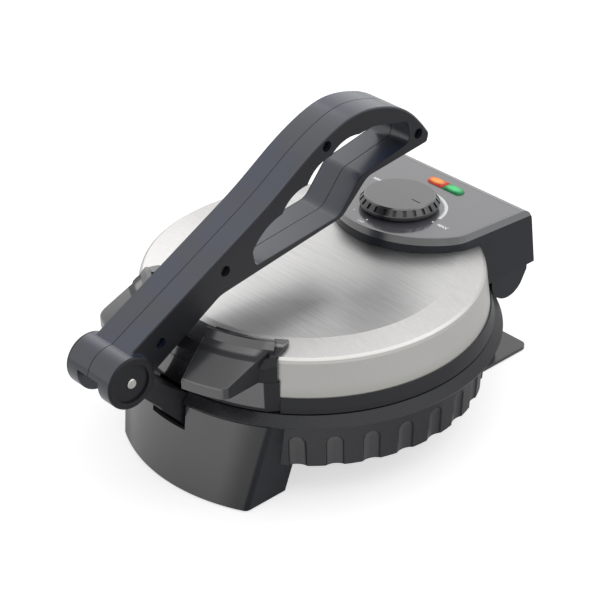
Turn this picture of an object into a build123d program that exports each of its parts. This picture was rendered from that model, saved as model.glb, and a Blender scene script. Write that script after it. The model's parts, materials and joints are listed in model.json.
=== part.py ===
"""Electric flatbread cooker: two heated plates, a hinged steel lid and a press arm.

Millimetres. X runs across the cooker, +Y to the rear hinge, +Z up, and z = 0 is the table.
Every size below is measured from the upright axis of the cooking plates; the finished
pieces are moved along Y at the end, so that the origin lies under the middle of the cooker.
"""

import os
from math import asin, atan2, cos, degrees, hypot, radians, sin

from build123d import *

# ---------------------------------------------------------------- fits
FIT = 0.25                 # between two pieces that are screwed together
RUNNING_FIT = 0.05         # radial, pin in a turning bore
SWING_GAP = 0.8            # beside a turning hinge eye
FOOT_PROUD = 1.0           # rubber feet below the mouldings

# ---------------------------------------------------------------- cooking plates
PLATE_R = 101.0
PLATE_T = 6.0
PLATE_EDGE = 2.0
COOKING_Z = 72.8           # top face of the lower plate
COOKING_GAP = 0.9          # between the two plates when the lid is down
ELEMENT_R = 68.0
ELEMENT_TUBE_R = 3.6
ELEMENT_OPEN = 30.0        # degrees left open between the element's two ends
ELEMENT_TAIL = 14.0
SHIELD_T = 0.8
SHIELD_DROP = 12.0
SHIELD_RIM = 4.0

# ---------------------------------------------------------------- base shell
SKIRT_Z = 27.4
SKIRT_R = 116.0            # at its lower edge
SKIRT_TOP_R = 118.6
WALL = 3.4
RIM_Z = 64.2               # underside of the outer rim
RIM_R = 129.1
RIM_EDGE = 2.0
BASE_TOP_Z = 72.0
BASE_TOP_R = 123.2
LEDGE_IN_R = 94.0
LEDGE_T = 2.6
LEDGE_Z = COOKING_Z - PLATE_T
LEDGE_UNDER_Z = LEDGE_Z - LEDGE_T
LID_SEAT_Z = COOKING_Z + COOKING_GAP + PLATE_T
FLUTES = 30
FLUTE_ROUND = 11.0
FLUTE_TOP = 52.0
FLUTE_DEPTH = 2.2
BOSS_R = 4.2
BOSS_RING_R = 104.5
BOSS_ANGLES = (52.0, 128.0, 232.0, 308.0)
BOTTOM_T = 2.4
VENT_L = 34.0
VENT_W = 3.2
VENT_PITCH = 9.0
VENTS = 6

# ---------------------------------------------------------------- front foot
FOOT_R = 136.3             # at the table
FOOT_TOP_R = 128.3
FOOT_HALF_W = 64.5         # at the table
FOOT_LEAN = 0.155          # each side leans out by this much for each mm of height
FOOT_BACK = -87.0
FOOT_BACK_RUN = 7.0        # the rear edges slope forward to this much under the skirt
FOOT_WALL = 2.6
FOOT_CORNER = 4.0
FOOT_NOTCH_W = 33.0
FOOT_NOTCH_Z = 46.0
SOLE_W = 13.0
SOLE_T = 3.0
PAD_R = 5.5
FRONT_PAD = (50.0, -117.0)

# ---------------------------------------------------------------- rear foot
POST_HALF_W = 50.0
POST_BACK = 129.5
POST_TOP = 56.4
POST_WALL = 3.0
SLAB_HALF_W = 58.0
SLAB_BACK = 155.3
SLAB_FRONT = 92.0
SLAB_T = 2.6
SLAB_CORNER = 6.0
REAR_PAD = (48.0, 145.0)
CORD_BUSH = (-30.0, 30.0)  # x and z on the post's back
BUSH_R = 7.0
BUSH_L = 11.0
BUSH_BORE_R = 2.6
POST_HOLLOW_Z = 42.0

# ---------------------------------------------------------------- rear hinge
HINGE_Y = 127.5
HINGE_Z = 74.0
HINGE_HOUSE_R = 16.6
KNUCKLE_BACK = 18.8        # its rear face, from the hinge's axis
KNUCKLE_SLANT = 35.0       # degrees, where that face runs into the round
KNUCKLE_SPREAD = 1.6       # the hinge moulding is this much wider each side than the fascia
HINGE_PIN_R = 3.0
LUG_R = 9.0
LUG_T = 10.0
LUG_X = 36.0               # middle of each lug
PIN_INTO_HOUSING = 9.0

# ---------------------------------------------------------------- lid
BAND_R = 120.0             # lower edge of the steel band
BAND_Z = 83.0
EDGE_R = 117.2
EDGE_Z = 109.9
CREASE_R = 96.3
CREASE_Z = 113.3
CROWN_Z = 114.8
STEEL_T = 0.8
EDGE_ROUND = 2.4
LID_RIM_R = 123.4
LID_RIM_Z = 73.2
LID_LEDGE_T = 2.6

# ---------------------------------------------------------------- front grip on the lid
GRIP_ANGLE = 37.5          # each side of the front
GRIP_R = 123.2
GRIP_SEAM_Z = 95.0         # the ring's front wall ends here and the grip begins
GRIP_WALL_TOP = 105.0
BEVEL_ANGLE = 33.4         # from here each end of the wall slopes in to the steel
COVER_W = 15.0             # the cover reaches this far in over the shoulder
COVER_IN_R = EDGE_R - COVER_W
COVER_T = 0.8
LIP_W = 2.4                # low ridge along the cover's rear edge
LIP_R = COVER_IN_R + LIP_W
LIP_H = 2.6
RIDGE_SETBACK = 4.2        # the high ridge stands this far inside the steel's edge
RIDGE_W = 5.6
RIDGE_R = EDGE_R - RIDGE_SETBACK
RIDGE_IN_R = RIDGE_R - RIDGE_W
RIDGE_Z = 119.0
RIDGE_ANGLE = 35.6
CAP_TOP_Z = 116.0          # rounded rib along each end of the grip
CAP_SLOPE_W = 3.8          # its top slopes down over this width
CAP_FLAT_R = RIDGE_R - CAP_SLOPE_W
CAP_OUTLINE = ((63.6, -78.0), (66.6, -81.4), (68.4, -86.6), (69.7, -93.2), (71.6, -97.0))
WING_SETOFF = 3.0          # from the ridge to the rear edge of the wing's plate
WING_R = RIDGE_R + WING_SETOFF
WING_Z = 114.5
WING_TIP_R = 147.6
WING_TIP_Z = 101.2
WING_TIP_H = 7.2
WING_SIDE_X = 64.8
WING_CORNER = 9.0
WING_SKIN = 2.8
WING_EDGE = 1.4            # rounding along the plate's free edges
CHANNEL = ((20.0, -95.0), (20.0, -108.0), (24.6, -120.0), (36.2, -147.0))
ARM_CLEAR = ((-123.9, 102.6), (-117.6, 109.3))    # in the channel the wall's top slopes down to this line
GRIP_SCREW_ANGLE = 21.0
GRIP_SCREW_Z = 102.0

# ---------------------------------------------------------------- control box
BOX_HALF_W = 60.5
BOX_DRAFT = 3.0             # degrees, the housing widens downwards
BOX_FRONT_R = 65.0
BOX_FRONT_Y = 106.0        # centre of the rounded front
BOX_SHOULDER_ROUND = 24.0  # where the front runs into the sides
BOX_BACK = 151.0
BOX_STEP_Z = 76.5
PANEL_Z = 119.7            # fascia height at its rear edge
PANEL_BACK = 141.5
PANEL_SLOPE = 0.07         # rises towards the front
TOP_T = 6.0                # glossy rim round the fascia
FASCIA_T = 1.0
FASCIA_EDGE = 1.4
BOX_WALL = 2.6
BOX_BACK_ROUND = 10.0
BOX_INSET = 0.5            # the wall stands this far inside the glossy rim

# ---------------------------------------------------------------- dial and lamps
DIAL_Y = 82.0
DIAL_FOOT_R = 26.0
DIAL_R = 28.2              # at its widest
DIAL_WIDE_H = 3.4
DIAL_TOP_R = 24.9
DIAL_H = 8.8
DIAL_FLOAT = 0.6           # over the fascia
DIAL_SLOTS = 24
DIAL_SLOT_W = 2.5
DIAL_SLOT_DEEP = 1.1
DIAL_SKIN = 2.2
DIAL_MARK_R = 11.6         # the pointer's inner end
DIAL_MARK_L = 8.0
SHAFT_R = 3.0
SHAFT_INTO_DIAL = 6.6
SHAFT_FLAT = 2.2
THERMOSTAT = (34.0, 26.0, 9.0)
CONTROL_HOLE_R = 24.0      # in the steel below the control box
LAMP_Y = 129.4
LAMP_X = -1.4
LENS_L = 16.2
LENS_W = 8.6
LENS_PROUD = 1.6
LENS_ROUND = 1.5
LENS_DEPTH = 4.0
LAMP_TUBE_R = 2.6
LAMP_TUBE_L = 8.0

# ---------------------------------------------------------------- press arm
PIVOT_Y = -172.3
PIVOT_Z = 104.9
BARREL_R = 17.9
BARREL_HALF_L = 22.6
BARREL_WALL = 2.6
SLOT_HALF_W = 10.6
SLOT_SPARE = 3.0           # degrees past each end of the arm's travel
ARM_HALF_W = 17.75
ARM_TRAVEL = 124.0
END_RECESS_R = 13.2
END_RECESS = 1.6
PIVOT_PIN_R = 3.4
PIN_HEAD_PROUD = 0.5
ARM_SCREW_R = 3.7
ARM_SCREW_DEPTH = 6.0
SEAM_EDGE = 0.35           # bevel where the halves meet, which leaves a fine line

# side outline of the arm, as (y, z)
ARM_BACK_POINTS = ((-125.7, 145.0), (-80.1, 168.2), (-47.1, 185.8), (-18.6, 203.4),
                   (3.4, 214.2), (27.0, 220.2), (47.9, 217.6), (72.5, 206.4), (85.5, 193.4))
ARM_NOSE = (93.4, 182.6)
ARM_CHIN = (91.6, 176.2)
ARM_STEP_HIGH = (36.0, 170.2)
ARM_STEP_LOW = (12.5, 148.6)
ARM_BEND = (-94.0, 133.2)
ARM_UNDER_START = (-160.0, 96.0)
ARM_BACK_START = (-176.0, 119.0)

# finger opening
LOOP_HEEL = (-66.5, 154.6)
LOOP_HEEL_LOW = (-64.5, 143.0)
LOOP_STEP_LOW = (10.0, 151.4)
LOOP_STEP_HIGH = (29.0, 173.2)
LOOP_TOE_LOW = (75.0, 182.4)
LOOP_TOE_HIGH = (73.0, 198.6)
LOOP_BROW = (41.0, 206.2)
FINGER_START = (-40.3, 172.3)
FINGER_PITCH = 25.4
FINGER_ANGLES = (29.5, 32.0, 15.5)
FINGER_SAG = 3.4

# ---------------------------------------------------------------- pivot bracket
BRACKET_HALF_W = 14.0
TONGUE_HALF_W = 10.0
EYE_R = 11.0
TONGUE_HALF_T = 5.2
TONGUE_ANGLE = -44.0       # way that the bracket leaves the barrel, from +Y
BRACKET_BACK_Y = -100.5
BRACKET_LOW_Z = 46.0
BRACKET_FLANGE_T = 5.0
BRACKET_SCREW_X = 8.0
WINDOW_GAP = 0.6
WINDOW_BACK_R = 111.0

# ---------------------------------------------------------------- screws
SCREW_R = 1.5
SCREW_HEAD_R = 2.9
SCREW_HEAD_H = 1.8
SCREW_L = 9.0

# the cooker's middle, from its foremost and rearmost points
MIDDLE_Y = (PIVOT_Y - BARREL_R + SLAB_BACK) / 2


# ---------------------------------------------------------------- helpers
def ring(points):
    """A solid of revolution about the plate axis, from (radius, z) points."""
    face = make_face(Polyline(*points, close=True))
    return revolve(Plane.XZ * face, Axis.Z)


def across(points, x_from, x_to):
    """A slab between two X planes, from (y, z) points."""
    face = make_face(Polyline(*points, close=True))
    return extrude(Plane.YZ.offset(x_from) * face, x_to - x_from)


def prism(points, z_from, z_to):
    """An upright prism from (x, y) points."""
    face = make_face(Polyline(*points, close=True))
    return extrude(Plane.XY.offset(z_from) * face, z_to - z_from)


def rod(y, z, radius, x_from, x_to):
    """A round bar along X."""
    return extrude(Plane.YZ.offset(x_from) * Pos(y, z) * Circle(radius), x_to - x_from)


def post(x, y, z_from, z_to, radius):
    """A round upright."""
    return extrude(Plane.XY.offset(z_from) * Pos(x, y) * Circle(radius), z_to - z_from)


def at_angle(radius, angle):
    """The (x, y) point at an angle from the cooker's front, towards +X."""
    return radius * sin(radians(angle)), -radius * cos(radians(angle))


def front_wedge(half_angle, radius, z_from, z_to):
    """The part of a disc within half_angle of the front."""
    left = at_angle(radius, -half_angle)
    right = at_angle(radius, half_angle)
    points = [(0, 0), left, (left[0], -radius * 1.2), (right[0], -radius * 1.2), right]
    return prism(points, z_from, z_to)


def mirrored(solid):
    """A piece together with its mirror image across the YZ plane."""
    return solid + mirror(solid, about=Plane.YZ)


def skirt_radius(z):
    """Outer radius of the base skirt, which has draft."""
    return SKIRT_R + (SKIRT_TOP_R - SKIRT_R) * (z - SKIRT_Z) / (RIM_Z - SKIRT_Z)


def panel_z(y):
    """Height of the sloping fascia."""
    return PANEL_Z + PANEL_SLOPE * (PANEL_BACK - y)


def panel_plane(drop, x=0.0, y=DIAL_Y):
    """A plane that lies below the fascia by drop, with its origin at (x, y)."""
    normal = Vector(0, PANEL_SLOPE, 1).normalized()
    origin = Vector(x, y, panel_z(y)) - normal * drop
    return Plane(origin=origin, x_dir=(1, 0, 0), z_dir=normal)


def pan_screw(x, y, z, length=SCREW_L):
    """A pan-head screw driven upwards, with its head's seat at z."""
    head = post(x, y, z - SCREW_HEAD_H, z, SCREW_HEAD_R)
    head = fillet(head.edges().sort_by(Axis.Z)[0], 0.6)
    shank = post(x, y, z, z + length, SCREW_R)
    slot = Pos(x, y, z - SCREW_HEAD_H) * Box(3.6, 0.8, 1.2)
    cross = Pos(x, y, z - SCREW_HEAD_H) * Box(0.8, 3.6, 1.2)
    return head + shank - slot - cross


# ---------------------------------------------------------------- base
def base_shell():
    """Moulded base with a fluted skirt, a sloping rim and a ledge for the plate."""
    body = ring([
        (SKIRT_R, SKIRT_Z),
        (SKIRT_TOP_R, RIM_Z),
        (RIM_R - 0.8, RIM_Z + 0.4),
        (RIM_R, RIM_Z + RIM_EDGE),
        (BASE_TOP_R, BASE_TOP_Z),
        (PLATE_R + FIT, BASE_TOP_Z),
        (PLATE_R + FIT, LEDGE_Z),
        (LEDGE_IN_R, LEDGE_Z),
        (LEDGE_IN_R, LEDGE_UNDER_Z),
        (SKIRT_TOP_R - WALL - 1.0, LEDGE_UNDER_Z),
        (SKIRT_TOP_R - WALL, RIM_Z - 4.0),
        (SKIRT_R - WALL, SKIRT_Z),
    ])
    slant = degrees(atan2(SKIRT_TOP_R - SKIRT_R, RIM_Z - SKIRT_Z))
    centre = FLUTE_ROUND - FLUTE_DEPTH
    half = (FLUTE_ROUND ** 2 - centre ** 2) ** 0.5
    high = FLUTE_TOP - half
    scoop = post(0, -centre, SKIRT_Z - 10, high, FLUTE_ROUND) + Pos(0, -centre, high) * Sphere(FLUTE_ROUND)
    scoop = Pos(0, -SKIRT_R, SKIRT_Z) * Rot(slant, 0, 0) * Pos(0, 0, -SKIRT_Z) * scoop
    step = 360.0 / FLUTES
    half_foot = degrees(atan2(FOOT_HALF_W + FOOT_LEAN * RIM_Z, SKIRT_R)) + step / 2
    for index in range(FLUTES):
        angle = (index + 0.5) * step
        turned = angle if angle <= 180 else 360 - angle
        behind = 180 - degrees(atan2(SLAB_HALF_W, SKIRT_R))
        if half_foot < turned < behind:
            body -= Rot(0, 0, angle) * scoop
    window_half = BRACKET_HALF_W + WINDOW_GAP
    window_high = BASE_TOP_Z - BRACKET_LOW_Z + 2 * WINDOW_GAP
    body -= Pos(0, -WINDOW_BACK_R - 20, BRACKET_LOW_Z - WINDOW_GAP + window_high / 2) * Box(
        2 * window_half, 40, window_high)
    for x in (-BRACKET_SCREW_X, BRACKET_SCREW_X):
        body -= post(x, BRACKET_BACK_Y - 4.0, LEDGE_UNDER_Z - 1, LEDGE_UNDER_Z + 6.0, SCREW_R)
    hinge_room = ring([(SKIRT_TOP_R + 0.6, RIM_Z - 2), (RIM_R + 5, RIM_Z - 2),
                       (RIM_R + 5, BASE_TOP_Z + 2), (SKIRT_TOP_R + 0.6, BASE_TOP_Z + 2)])
    hinge_room &= Pos(0, RIM_R / 2 + 50, RIM_Z) * Box(2 * (BOX_HALF_W + 4), RIM_R, 40)
    body -= hinge_room
    half_room = BOX_HALF_W + KNUCKLE_SPREAD + SWING_GAP
    trough = rod(HINGE_Y, HINGE_Z, HINGE_HOUSE_R + SWING_GAP + WALL, -half_room, half_room)
    trough &= ring([(PLATE_R + FIT, SKIRT_Z), (SKIRT_R - 0.5, SKIRT_Z), (SKIRT_TOP_R - 0.5, RIM_Z),
                    (SKIRT_TOP_R - 0.5, BASE_TOP_Z), (PLATE_R + FIT, BASE_TOP_Z)])
    body += trough
    body -= rod(HINGE_Y, HINGE_Z, HINGE_HOUSE_R + SWING_GAP, -half_room, half_room)
    for angle in BOSS_ANGLES:
        x, y = at_angle(BOSS_RING_R, angle)
        boss = post(x, y, SKIRT_Z + BOTTOM_T, LEDGE_UNDER_Z + 0.5, BOSS_R)
        body += boss - post(x, y, SKIRT_Z, SKIRT_Z + BOTTOM_T + SCREW_L + 1, SCREW_R)
    return body


def lower_plate():
    """Cast plate, with a rounded cooking edge and a groove that holds the element."""
    z = LEDGE_Z
    plate = post(0, 0, z, COOKING_Z, PLATE_R)
    plate = fillet(plate.edges().sort_by(Axis.Z)[-1], PLATE_EDGE)
    groove = Pos(0, 0, z) * Torus(ELEMENT_R, ELEMENT_TUBE_R)
    return plate - groove


def element(z, down):
    """Tubular heating element, three quarters sunk below the face at z."""
    loop = Pos(0, 0, z) * Torus(ELEMENT_R, ELEMENT_TUBE_R)
    gap = prism([(0, 0), (-ELEMENT_R * 1.3 * sin(radians(ELEMENT_OPEN / 2)), ELEMENT_R * 1.3),
                 (ELEMENT_R * 1.3 * sin(radians(ELEMENT_OPEN / 2)), ELEMENT_R * 1.3)],
                z - 10, z + 10)
    loop -= gap
    side = radians(ELEMENT_OPEN / 2)
    x = ELEMENT_R * sin(side) * 1.02
    y = ELEMENT_R * cos(side)
    low = z - ELEMENT_TAIL if down else z
    high = z if down else z + ELEMENT_TAIL
    for sign in (-1, 1):
        loop += post(sign * x, y, low, high, ELEMENT_TUBE_R * 0.8)
    return loop


def lower_element():
    """Heating element under the lower plate."""
    return element(LEDGE_Z, True)


def dish(z_open, drop, up):
    """Thin pressed heat shield with a turned rim, open towards z_open."""
    sign = 1 if up else -1
    floor = z_open - sign * drop
    outer = LEDGE_IN_R - 2.0
    points = [
        (0, floor),
        (outer - 8, floor),
        (outer, z_open - sign * SHIELD_T),
        (outer + SHIELD_RIM + 2, z_open - sign * SHIELD_T),
        (outer + SHIELD_RIM + 2, z_open),
        (outer - SHIELD_T, z_open),
        (outer - 8 - SHIELD_T, floor + sign * SHIELD_T),
        (0, floor + sign * SHIELD_T),
    ]
    shield = ring(points)
    side = radians(ELEMENT_OPEN / 2)
    for s in (-1, 1):
        x = s * ELEMENT_R * sin(side) * 1.02
        y = ELEMENT_R * cos(side)
        shield -= post(x, y, min(floor, z_open) - 5, max(floor, z_open) + 5, ELEMENT_TUBE_R * 0.8 + 1.0)
    return shield


def lower_shield():
    """Heat shield below the lower element, hung under the ledge."""
    return dish(LEDGE_UNDER_Z, SHIELD_DROP, True)


def bottom_cover():
    """Vented cover that closes the base from below."""
    radius = SKIRT_R - WALL - FIT
    cover = post(0, 0, SKIRT_Z, SKIRT_Z + BOTTOM_T, radius)
    slot = Pos(0, 0, SKIRT_Z) * extrude(SlotOverall(VENT_L, VENT_W, rotation=90), BOTTOM_T)
    for index in range(VENTS):
        x = (index - (VENTS - 1) / 2) * VENT_PITCH
        cover -= Pos(x, 34, 0) * slot
        cover -= Pos(x, -34, 0) * slot
    for angle in BOSS_ANGLES:
        x, y = at_angle(BOSS_RING_R, angle)
        cover -= post(x, y, SKIRT_Z, SKIRT_Z + BOTTOM_T, SCREW_R + 0.2)
    return cover


def base_screws():
    """Four screws that hold the bottom cover."""
    screws = None
    for angle in BOSS_ANGLES:
        x, y = at_angle(BOSS_RING_R, angle)
        screw = pan_screw(x, y, SKIRT_Z)
        screws = screw if screws is None else screws + screw
    return screws


def foot_block(inset):
    """The front foot's outer form, with its front and sides moved inwards by inset."""
    run = FOOT_R - FOOT_TOP_R
    cone = ring([(0, 0), (FOOT_R - inset, 0), (FOOT_R - run - inset, RIM_Z), (0, RIM_Z)])
    half = FOOT_HALF_W - inset
    lean = FOOT_LEAN * RIM_Z
    outline = Polyline((-half, 0), (half, 0), (half + lean, RIM_Z), (-half - lean, RIM_Z), close=True)
    face = make_face(outline)
    sides = extrude(Plane.XZ * face, 2 * FOOT_R)
    back = across([(FOOT_BACK, 0), (FOOT_BACK + FOOT_BACK_RUN, SKIRT_Z + 4),
                   (FOOT_BACK + FOOT_BACK_RUN, RIM_Z), (-2 * FOOT_R, RIM_Z), (-2 * FOOT_R, 0)],
                  -2 * half, 2 * half)
    block = cone & sides & back
    front_y = -(FOOT_R ** 2 - half ** 2) ** 0.5
    corners = [edge for edge in block.edges()
               if edge.center().Y < front_y + 12 and edge.bounding_box().size.Z > RIM_Z - 1]
    return fillet(corners, FOOT_CORNER - inset)


def front_foot():
    """Curved glossy front foot, hollow and open to the rear and below."""
    block = foot_block(0.0)
    hollow = foot_block(FOOT_WALL)
    keep_top = Pos(0, 0, RIM_Z - FOOT_WALL / 2) * Box(400, 400, FOOT_WALL)
    body = block - (hollow - keep_top)
    hollow_back = Pos(0, FOOT_BACK, RIM_Z / 2) * Box(
        2 * (FOOT_HALF_W - FOOT_WALL), 30, 3 * RIM_Z)
    body -= hollow_back
    body -= ring([(0, SKIRT_Z - 0.4), (SKIRT_R + FIT, SKIRT_Z - 0.4),
                  (SKIRT_TOP_R + FIT, RIM_Z), (0, RIM_Z)])
    sole = foot_block(0.5) - ring([(0, 0), (FOOT_R - SOLE_W, 0), (FOOT_R - SOLE_W, RIM_Z), (0, RIM_Z)])
    sole &= Pos(0, 0, SOLE_T / 2) * Box(400, 400, SOLE_T)
    body += sole
    body -= Pos(0, 0, FOOT_PROUD / 2) * Box(400, 400, FOOT_PROUD)
    notch = Pos(0, -(FOOT_R + SKIRT_R) / 2, (FOOT_NOTCH_Z + RIM_Z) / 2 + 5) * Box(
        FOOT_NOTCH_W, 40, RIM_Z - FOOT_NOTCH_Z + 10)
    body -= notch
    for x in (-FRONT_PAD[0], FRONT_PAD[0]):
        body += post(x, FRONT_PAD[1], FOOT_PROUD + 1.0, SOLE_T + 1.5, PAD_R + 2.0)
        body -= post(x, FRONT_PAD[1], 0, FOOT_PROUD + 1.0, PAD_R + FIT)
    return body


def rear_foot():
    """Rear foot: a hollow post with two hinge lugs, on a thin slab."""
    inner = skirt_radius(SKIRT_Z) + FIT
    inner_top = skirt_radius(POST_TOP) + FIT
    body = Pos(0, (SLAB_FRONT + POST_BACK) / 2, (FOOT_PROUD + POST_TOP) / 2) * Box(
        2 * POST_HALF_W, POST_BACK - SLAB_FRONT, POST_TOP - FOOT_PROUD)
    body -= ring([(0, SKIRT_Z - 0.4), (inner, SKIRT_Z - 0.4), (inner_top, POST_TOP + 1), (0, POST_TOP + 1)])
    body -= Pos(0, (SLAB_FRONT + POST_BACK) / 2 - POST_WALL, POST_HOLLOW_Z / 2) * Box(
        2 * (POST_HALF_W - POST_WALL), POST_BACK - SLAB_FRONT, POST_HOLLOW_Z)
    slab = Pos(0, (SLAB_FRONT + SLAB_BACK) / 2, FOOT_PROUD + SLAB_T / 2) * Box(
        2 * SLAB_HALF_W, SLAB_BACK - SLAB_FRONT, SLAB_T)
    slab = fillet(slab.edges().filter_by(Axis.Z), SLAB_CORNER)
    body += slab
    for side in (-1, 1):
        x = side * LUG_X
        lug = rod(HINGE_Y, HINGE_Z, LUG_R, x - LUG_T / 2, x + LUG_T / 2)
        neck = Pos(x, HINGE_Y - 4.5, (POST_TOP + HINGE_Z) / 2 - 0.5) * Box(
            LUG_T, 2 * (LUG_R - 4.5), HINGE_Z - POST_TOP + 1)
        lug += neck
        body += lug
        body -= rod(HINGE_Y, HINGE_Z, HINGE_PIN_R, x - LUG_T, x + LUG_T)
        body -= post(side * REAR_PAD[0], REAR_PAD[1], 0, FOOT_PROUD + 1.0, PAD_R + FIT)
    hole = Plane.XZ.offset(-POST_BACK) * Pos(*CORD_BUSH) * Circle(BUSH_R - 2.0)
    body -= extrude(hole, 6, both=True)
    return body


def cord_bush():
    """Ribbed strain-relief bush in the post's back, empty here."""
    x, z = CORD_BUSH
    base = Plane.XZ.offset(-POST_BACK) * Pos(x, z)
    flange = extrude(base * Circle(BUSH_R), -2.0)
    neck = extrude(base * Circle(BUSH_R - 2.0 - 0.1), 3.4)
    tail = extrude(base * Circle(BUSH_R - 2.4), -BUSH_L)
    bush = flange + neck + tail
    for index in range(3):
        y = POST_BACK + 3.4 + index * 2.6
        groove = Plane.XZ.offset(-y) * Pos(x, z)
        cut = extrude(groove * Circle(BUSH_R), -1.2) - extrude(groove * Circle(BUSH_R - 3.2), -1.2)
        bush -= cut
    bore = Plane.XZ.offset(-POST_BACK - BUSH_L - 1) * Pos(x, z) * Circle(BUSH_BORE_R)
    return bush - extrude(bore, BUSH_L + 8)


def rubber_feet():
    """Four rubber pads, two under the front foot and two under the slab."""
    pads = None
    for x, y in ((-FRONT_PAD[0], FRONT_PAD[1]), FRONT_PAD, (-REAR_PAD[0], REAR_PAD[1]), REAR_PAD):
        pad = post(x, y, 0, FOOT_PROUD + 1.0, PAD_R)
        pad = fillet(pad.edges().sort_by(Axis.Z)[0], 0.6)
        pads = pad if pads is None else pads + pad
    return pads


def hinge_pins():
    """Two steel pins on the rear hinge line."""
    half = LUG_T / 2 + PIN_INTO_HOUSING
    pins = rod(HINGE_Y, HINGE_Z, HINGE_PIN_R - RUNNING_FIT, LUG_X - half, LUG_X + half)
    return mirrored(pins)


def tongue_outline():
    """Side outline of the bracket, from its eye down into the base, as (y, z) points."""
    along = Vector(cos(radians(TONGUE_ANGLE)), sin(radians(TONGUE_ANGLE)))
    over = Vector(-along.Y, along.X)
    start = Vector(PIVOT_Y, PIVOT_Z)
    leave = BARREL_R + 2.0
    upper = start + over * TONGUE_HALF_T
    lower = start - over * TONGUE_HALF_T
    upper_out = start + along * leave + over * TONGUE_HALF_T
    lower_out = start + along * leave - over * TONGUE_HALF_T
    return upper, upper_out, lower_out, lower


def pivot_bracket():
    """Bent bracket that carries the arm: an eye, a stepped neck and a flange below the ledge."""
    upper, upper_out, lower_out, lower = tongue_outline()
    tongue = across([(upper.X, upper.Y), (upper_out.X, upper_out.Y),
                     (lower_out.X, lower_out.Y), (lower.X, lower.Y)], -TONGUE_HALF_W, TONGUE_HALF_W)
    tongue += rod(PIVOT_Y, PIVOT_Z, EYE_R, -TONGUE_HALF_W, TONGUE_HALF_W)
    neck = across([
        (upper_out.X - 1.2, upper_out.Y + 1.2),
        (-148.0, 91.6),
        (-137.0, 81.6),
        (-121.5, 69.6),
        (-115.0, LEDGE_UNDER_Z),
        (BRACKET_BACK_Y, LEDGE_UNDER_Z),
        (BRACKET_BACK_Y, LEDGE_UNDER_Z - BRACKET_FLANGE_T),
        (-112.0, LEDGE_UNDER_Z - BRACKET_FLANGE_T),
        (-112.0, BRACKET_LOW_Z),
        (-125.0, BRACKET_LOW_Z),
        (-128.0, 48.8),
        (-143.6, 66.6),
        (-146.0, 70.6),
        (lower_out.X - 1.2, lower_out.Y + 1.2),
    ], -BRACKET_HALF_W, BRACKET_HALF_W)
    hollow = [(-114.5, BRACKET_LOW_Z), (-114.5, 58.0), (-121.0, 62.0), (-129.5, 56.5), (-123.0, BRACKET_LOW_Z)]
    neck -= across(hollow,
                   -BRACKET_HALF_W + 3.0, BRACKET_HALF_W - 3.0)
    body = tongue + neck
    body -= rod(PIVOT_Y, PIVOT_Z, PIVOT_PIN_R + RUNNING_FIT, -BRACKET_HALF_W, BRACKET_HALF_W)
    for x in (-BRACKET_SCREW_X, BRACKET_SCREW_X):
        body -= post(x, BRACKET_BACK_Y - 4.0, BRACKET_LOW_Z, LEDGE_Z, SCREW_R + 0.2)
    return body


def bracket_screws():
    """Two screws from below that fix the bracket to the base ledge."""
    screws = None
    for x in (-BRACKET_SCREW_X, BRACKET_SCREW_X):
        screw = pan_screw(x, BRACKET_BACK_Y - 4.0, LEDGE_UNDER_Z - BRACKET_FLANGE_T, BRACKET_FLANGE_T + 5.0)
        screws = screw if screws is None else screws + screw
    return screws


# ---------------------------------------------------------------- lid
def cover_outline(offset):
    """Outer outline of the steel lid, moved outwards by offset, as (radius, z) points."""
    return [
        (0, CROWN_Z + offset),
        (CREASE_R * 0.55, CROWN_Z - 0.45 + offset),
        (CREASE_R, CREASE_Z + offset),
        (EDGE_R - EDGE_ROUND, EDGE_Z + 0.35 + offset),
        (EDGE_R - 0.5 + offset, EDGE_Z - 1.0 + offset),
        (EDGE_R + 0.2 + offset, EDGE_Z - EDGE_ROUND - 0.6),
        (BAND_R + offset, BAND_Z),
    ]


def lid_cover():
    """Spun stainless cover: low crown, sloping shoulder and drafted band."""
    outer = cover_outline(0.0)
    inner = cover_outline(-STEEL_T)
    cover = ring(outer + inner[::-1])
    for angle in (-GRIP_SCREW_ANGLE, GRIP_SCREW_ANGLE):
        cover -= radial(angle, EDGE_R - 5, EDGE_R + 5, GRIP_SCREW_Z, SCREW_R + 0.2)
    return cover - post(0, DIAL_Y, BAND_Z, CROWN_Z + 5, CONTROL_HOLE_R)


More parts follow.
